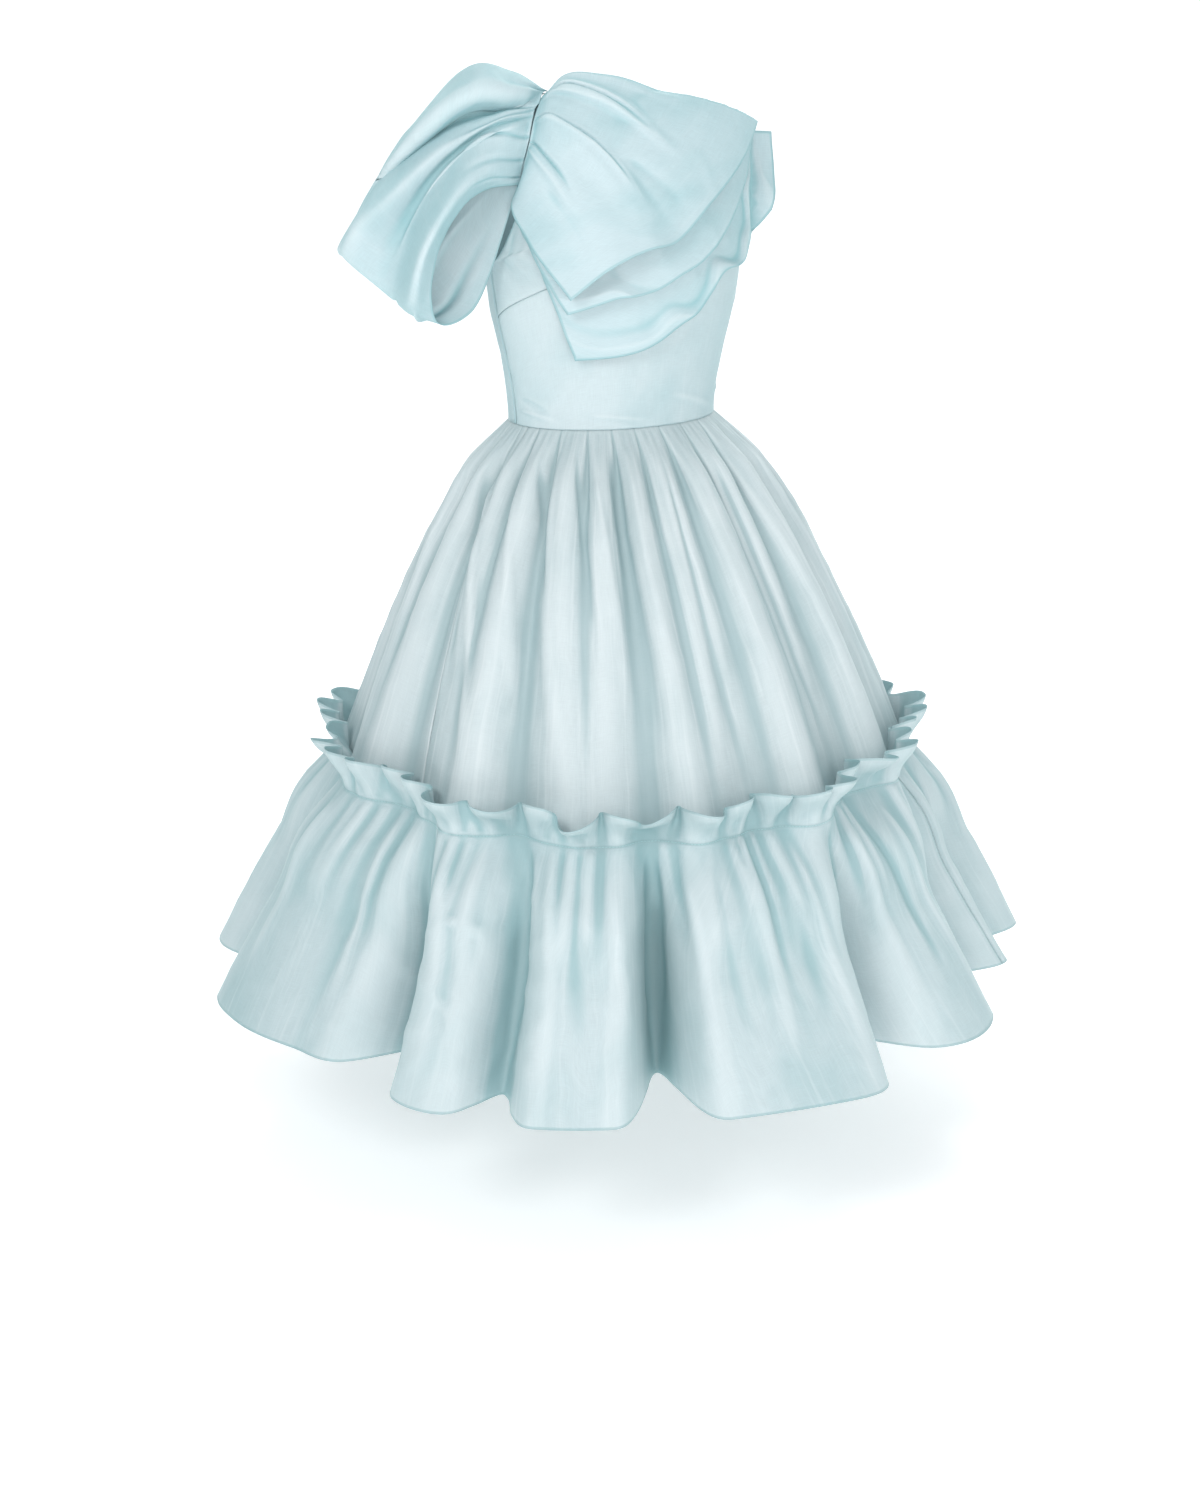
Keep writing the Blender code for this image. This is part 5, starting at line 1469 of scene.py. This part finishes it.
def build_stage(settings):
    turn, tilt = math.radians(CAMERA_TURN), math.radians(CAMERA_TILT)
    look = Vector((math.sin(turn) * math.cos(tilt), math.cos(turn) * math.cos(tilt),
                   -math.sin(tilt)))
    right = Vector((math.cos(turn), -math.sin(turn), 0.0))
    place = Vector((-math.sin(turn) * CAMERA_AWAY - SHOULDER_X, -math.cos(turn) * CAMERA_AWAY,
                    CAMERA_HIGH)) - right * CAMERA_SIDE
    lens = bpy.data.cameras.new("camera")
    lens.lens = CAMERA_LENS
    lens.sensor_fit = "AUTO"
    lens.sensor_width = 36.0
    camera = add_object("camera", lens)
    camera.location = place
    camera.rotation_euler = aimed(look)
    bpy.context.scene.camera = camera

    floor_z = HEM_Z - FLOOR_DROP
    curve = [(BACKDROP_CURVE_AT + BACKDROP_RADIUS * math.sin(a),
              BACKDROP_RADIUS - BACKDROP_RADIUS * math.cos(a))
             for a in np.linspace(0, math.pi / 2, 17)]
    profile = [(BACKDROP_START, 0.0), *curve,
               (BACKDROP_CURVE_AT + BACKDROP_RADIUS, BACKDROP_HIGH)]
    points, faces = [], []
    for away, high in profile:
        for side in (-BACKDROP_HALF, BACKDROP_HALF):
            spot = Vector((look.x, look.y, 0.0)).normalized() * away + right * side
            points.append((spot.x, spot.y, floor_z + high))
    for i in range(len(profile) - 1):
        faces.append((2 * i, 2 * i + 1, 2 * i + 3, 2 * i + 2))
    mesh = bpy.data.meshes.new("backdrop")
    mesh.from_pydata(points, [], faces)
    mesh.shade_smooth()
    mesh.materials.append(plain("look_backdrop", PAPER, 0.9, glow=PAPER_GLOW))
    backdrop = add_object("backdrop", mesh)

    for name, spot, size, power in LAMPS:
        lamp = bpy.data.lights.new(name, "AREA")
        lamp.shape = "SQUARE"
        lamp.size = size
        lamp.energy = power * settings.light
        thing = add_object(name, lamp)
        thing.location = spot
        thing.rotation_euler = aimed(Vector(LAMP_AIM) - thing.location)
    world = bpy.data.worlds.new("studio")
    world.use_nodes = True
    background = world.node_tree.nodes["Background"]
    fill(world.node_tree, background, {"Color": SKY, "Strength": SKY_STRENGTH})
    bpy.context.scene.world = world
    bpy.context.scene.view_settings.view_transform = "Standard"


# Add-on

class GownSettings(PropertyGroup):
    """Settings that the build reads."""
    crease_depth: FloatProperty(name="Crease depth", default=1.0, min=0.0, max=2.0,
                                subtype="FACTOR",
                                description="How deep the hand-placed creases are")
    crumple: FloatProperty(name="Crumple", default=1.0, min=0.0, max=3.0, subtype="FACTOR",
                           description="How strongly the cloth is crumpled")
    stitch_step: FloatProperty(name="Stitch step", default=0.004, min=0.002, max=0.02,
                               unit="LENGTH", description="Distance from stitch to stitch")
    light: FloatProperty(name="Light", default=1.0, min=0.1, max=4.0, subtype="FACTOR",
                         description="Strength of the studio lamps")


class GOWN_OT_bodice(Operator):
    """Build the four bodice panels"""
    bl_idname = "gown.bodice"
    bl_label = "Bodice"
    bl_options = {"REGISTER", "UNDO"}

    def execute(self, context):
        build_bodice(context.scene.gown)
        return {"FINISHED"}


class GOWN_OT_skirt(Operator):
    """Build the three skirt panels"""
    bl_idname = "gown.skirt"
    bl_label = "Skirt"
    bl_options = {"REGISTER", "UNDO"}

    def execute(self, context):
        build_skirt(context.scene.gown)
        return {"FINISHED"}


class GOWN_OT_flounce(Operator):
    """Build the flounce and heading"""
    bl_idname = "gown.flounce"
    bl_label = "Flounce"
    bl_options = {"REGISTER", "UNDO"}

    def execute(self, context):
        build_flounce(context.scene.gown)
        return {"FINISHED"}


class GOWN_OT_layers(Operator):
    """Build the bow's layers"""
    bl_idname = "gown.layers"
    bl_label = "Bow layers"
    bl_options = {"REGISTER", "UNDO"}

    def execute(self, context):
        build_bow_layers(context.scene.gown)
        return {"FINISHED"}


class GOWN_OT_loop(Operator):
    """Build the loop over the arm"""
    bl_idname = "gown.loop"
    bl_label = "Bow loop"
    bl_options = {"REGISTER", "UNDO"}

    def execute(self, context):
        build_loop(context.scene.gown)
        return {"FINISHED"}


class GOWN_OT_stitches(Operator):
    """Build the stitch lines"""
    bl_idname = "gown.stitches"
    bl_label = "Stitches"
    bl_options = {"REGISTER", "UNDO"}

    def execute(self, context):
        build_stitches(context.scene.gown)
        return {"FINISHED"}


class GOWN_OT_zip(Operator):
    """Build the zip at the centre back"""
    bl_idname = "gown.zip"
    bl_label = "Zip"
    bl_options = {"REGISTER", "UNDO"}

    def execute(self, context):
        build_zip(context.scene.gown)
        return {"FINISHED"}


class GOWN_OT_stage(Operator):
    """Build floor, lights and camera"""
    bl_idname = "gown.stage"
    bl_label = "Stage"
    bl_options = {"REGISTER", "UNDO"}

    def execute(self, context):
        build_stage(context.scene.gown)
        return {"FINISHED"}


OPERATORS = (GOWN_OT_bodice, GOWN_OT_skirt, GOWN_OT_flounce, GOWN_OT_layers, GOWN_OT_loop,
             GOWN_OT_stitches, GOWN_OT_zip, GOWN_OT_stage)


class GOWN_PT_panel(Panel):
    """Settings and steps of the build"""
    bl_label = "Gown"
    bl_idname = "GOWN_PT_panel"
    bl_space_type = "VIEW_3D"
    bl_region_type = "UI"
    bl_category = "Gown"

    def draw(self, context):
        for name in GownSettings.__annotations__:
            self.layout.prop(context.scene.gown, name)
        for kind in OPERATORS:
            self.layout.operator(kind.bl_idname)


CLASSES = (GownSettings, *OPERATORS, GOWN_PT_panel)


def register():
    for kind in CLASSES:
        bpy.utils.register_class(kind)
    bpy.types.Scene.gown = PointerProperty(type=GownSettings)


def unregister():
    del bpy.types.Scene.gown
    for kind in reversed(CLASSES):
        bpy.utils.unregister_class(kind)


def main():
    register()
    for kind in OPERATORS:
        group, name = kind.bl_idname.split(".")
        if getattr(getattr(bpy.ops, group), name)() != {"FINISHED"}:
            raise RuntimeError(kind.bl_label + " wasn't built")


if __name__ == "__main__":
    main()
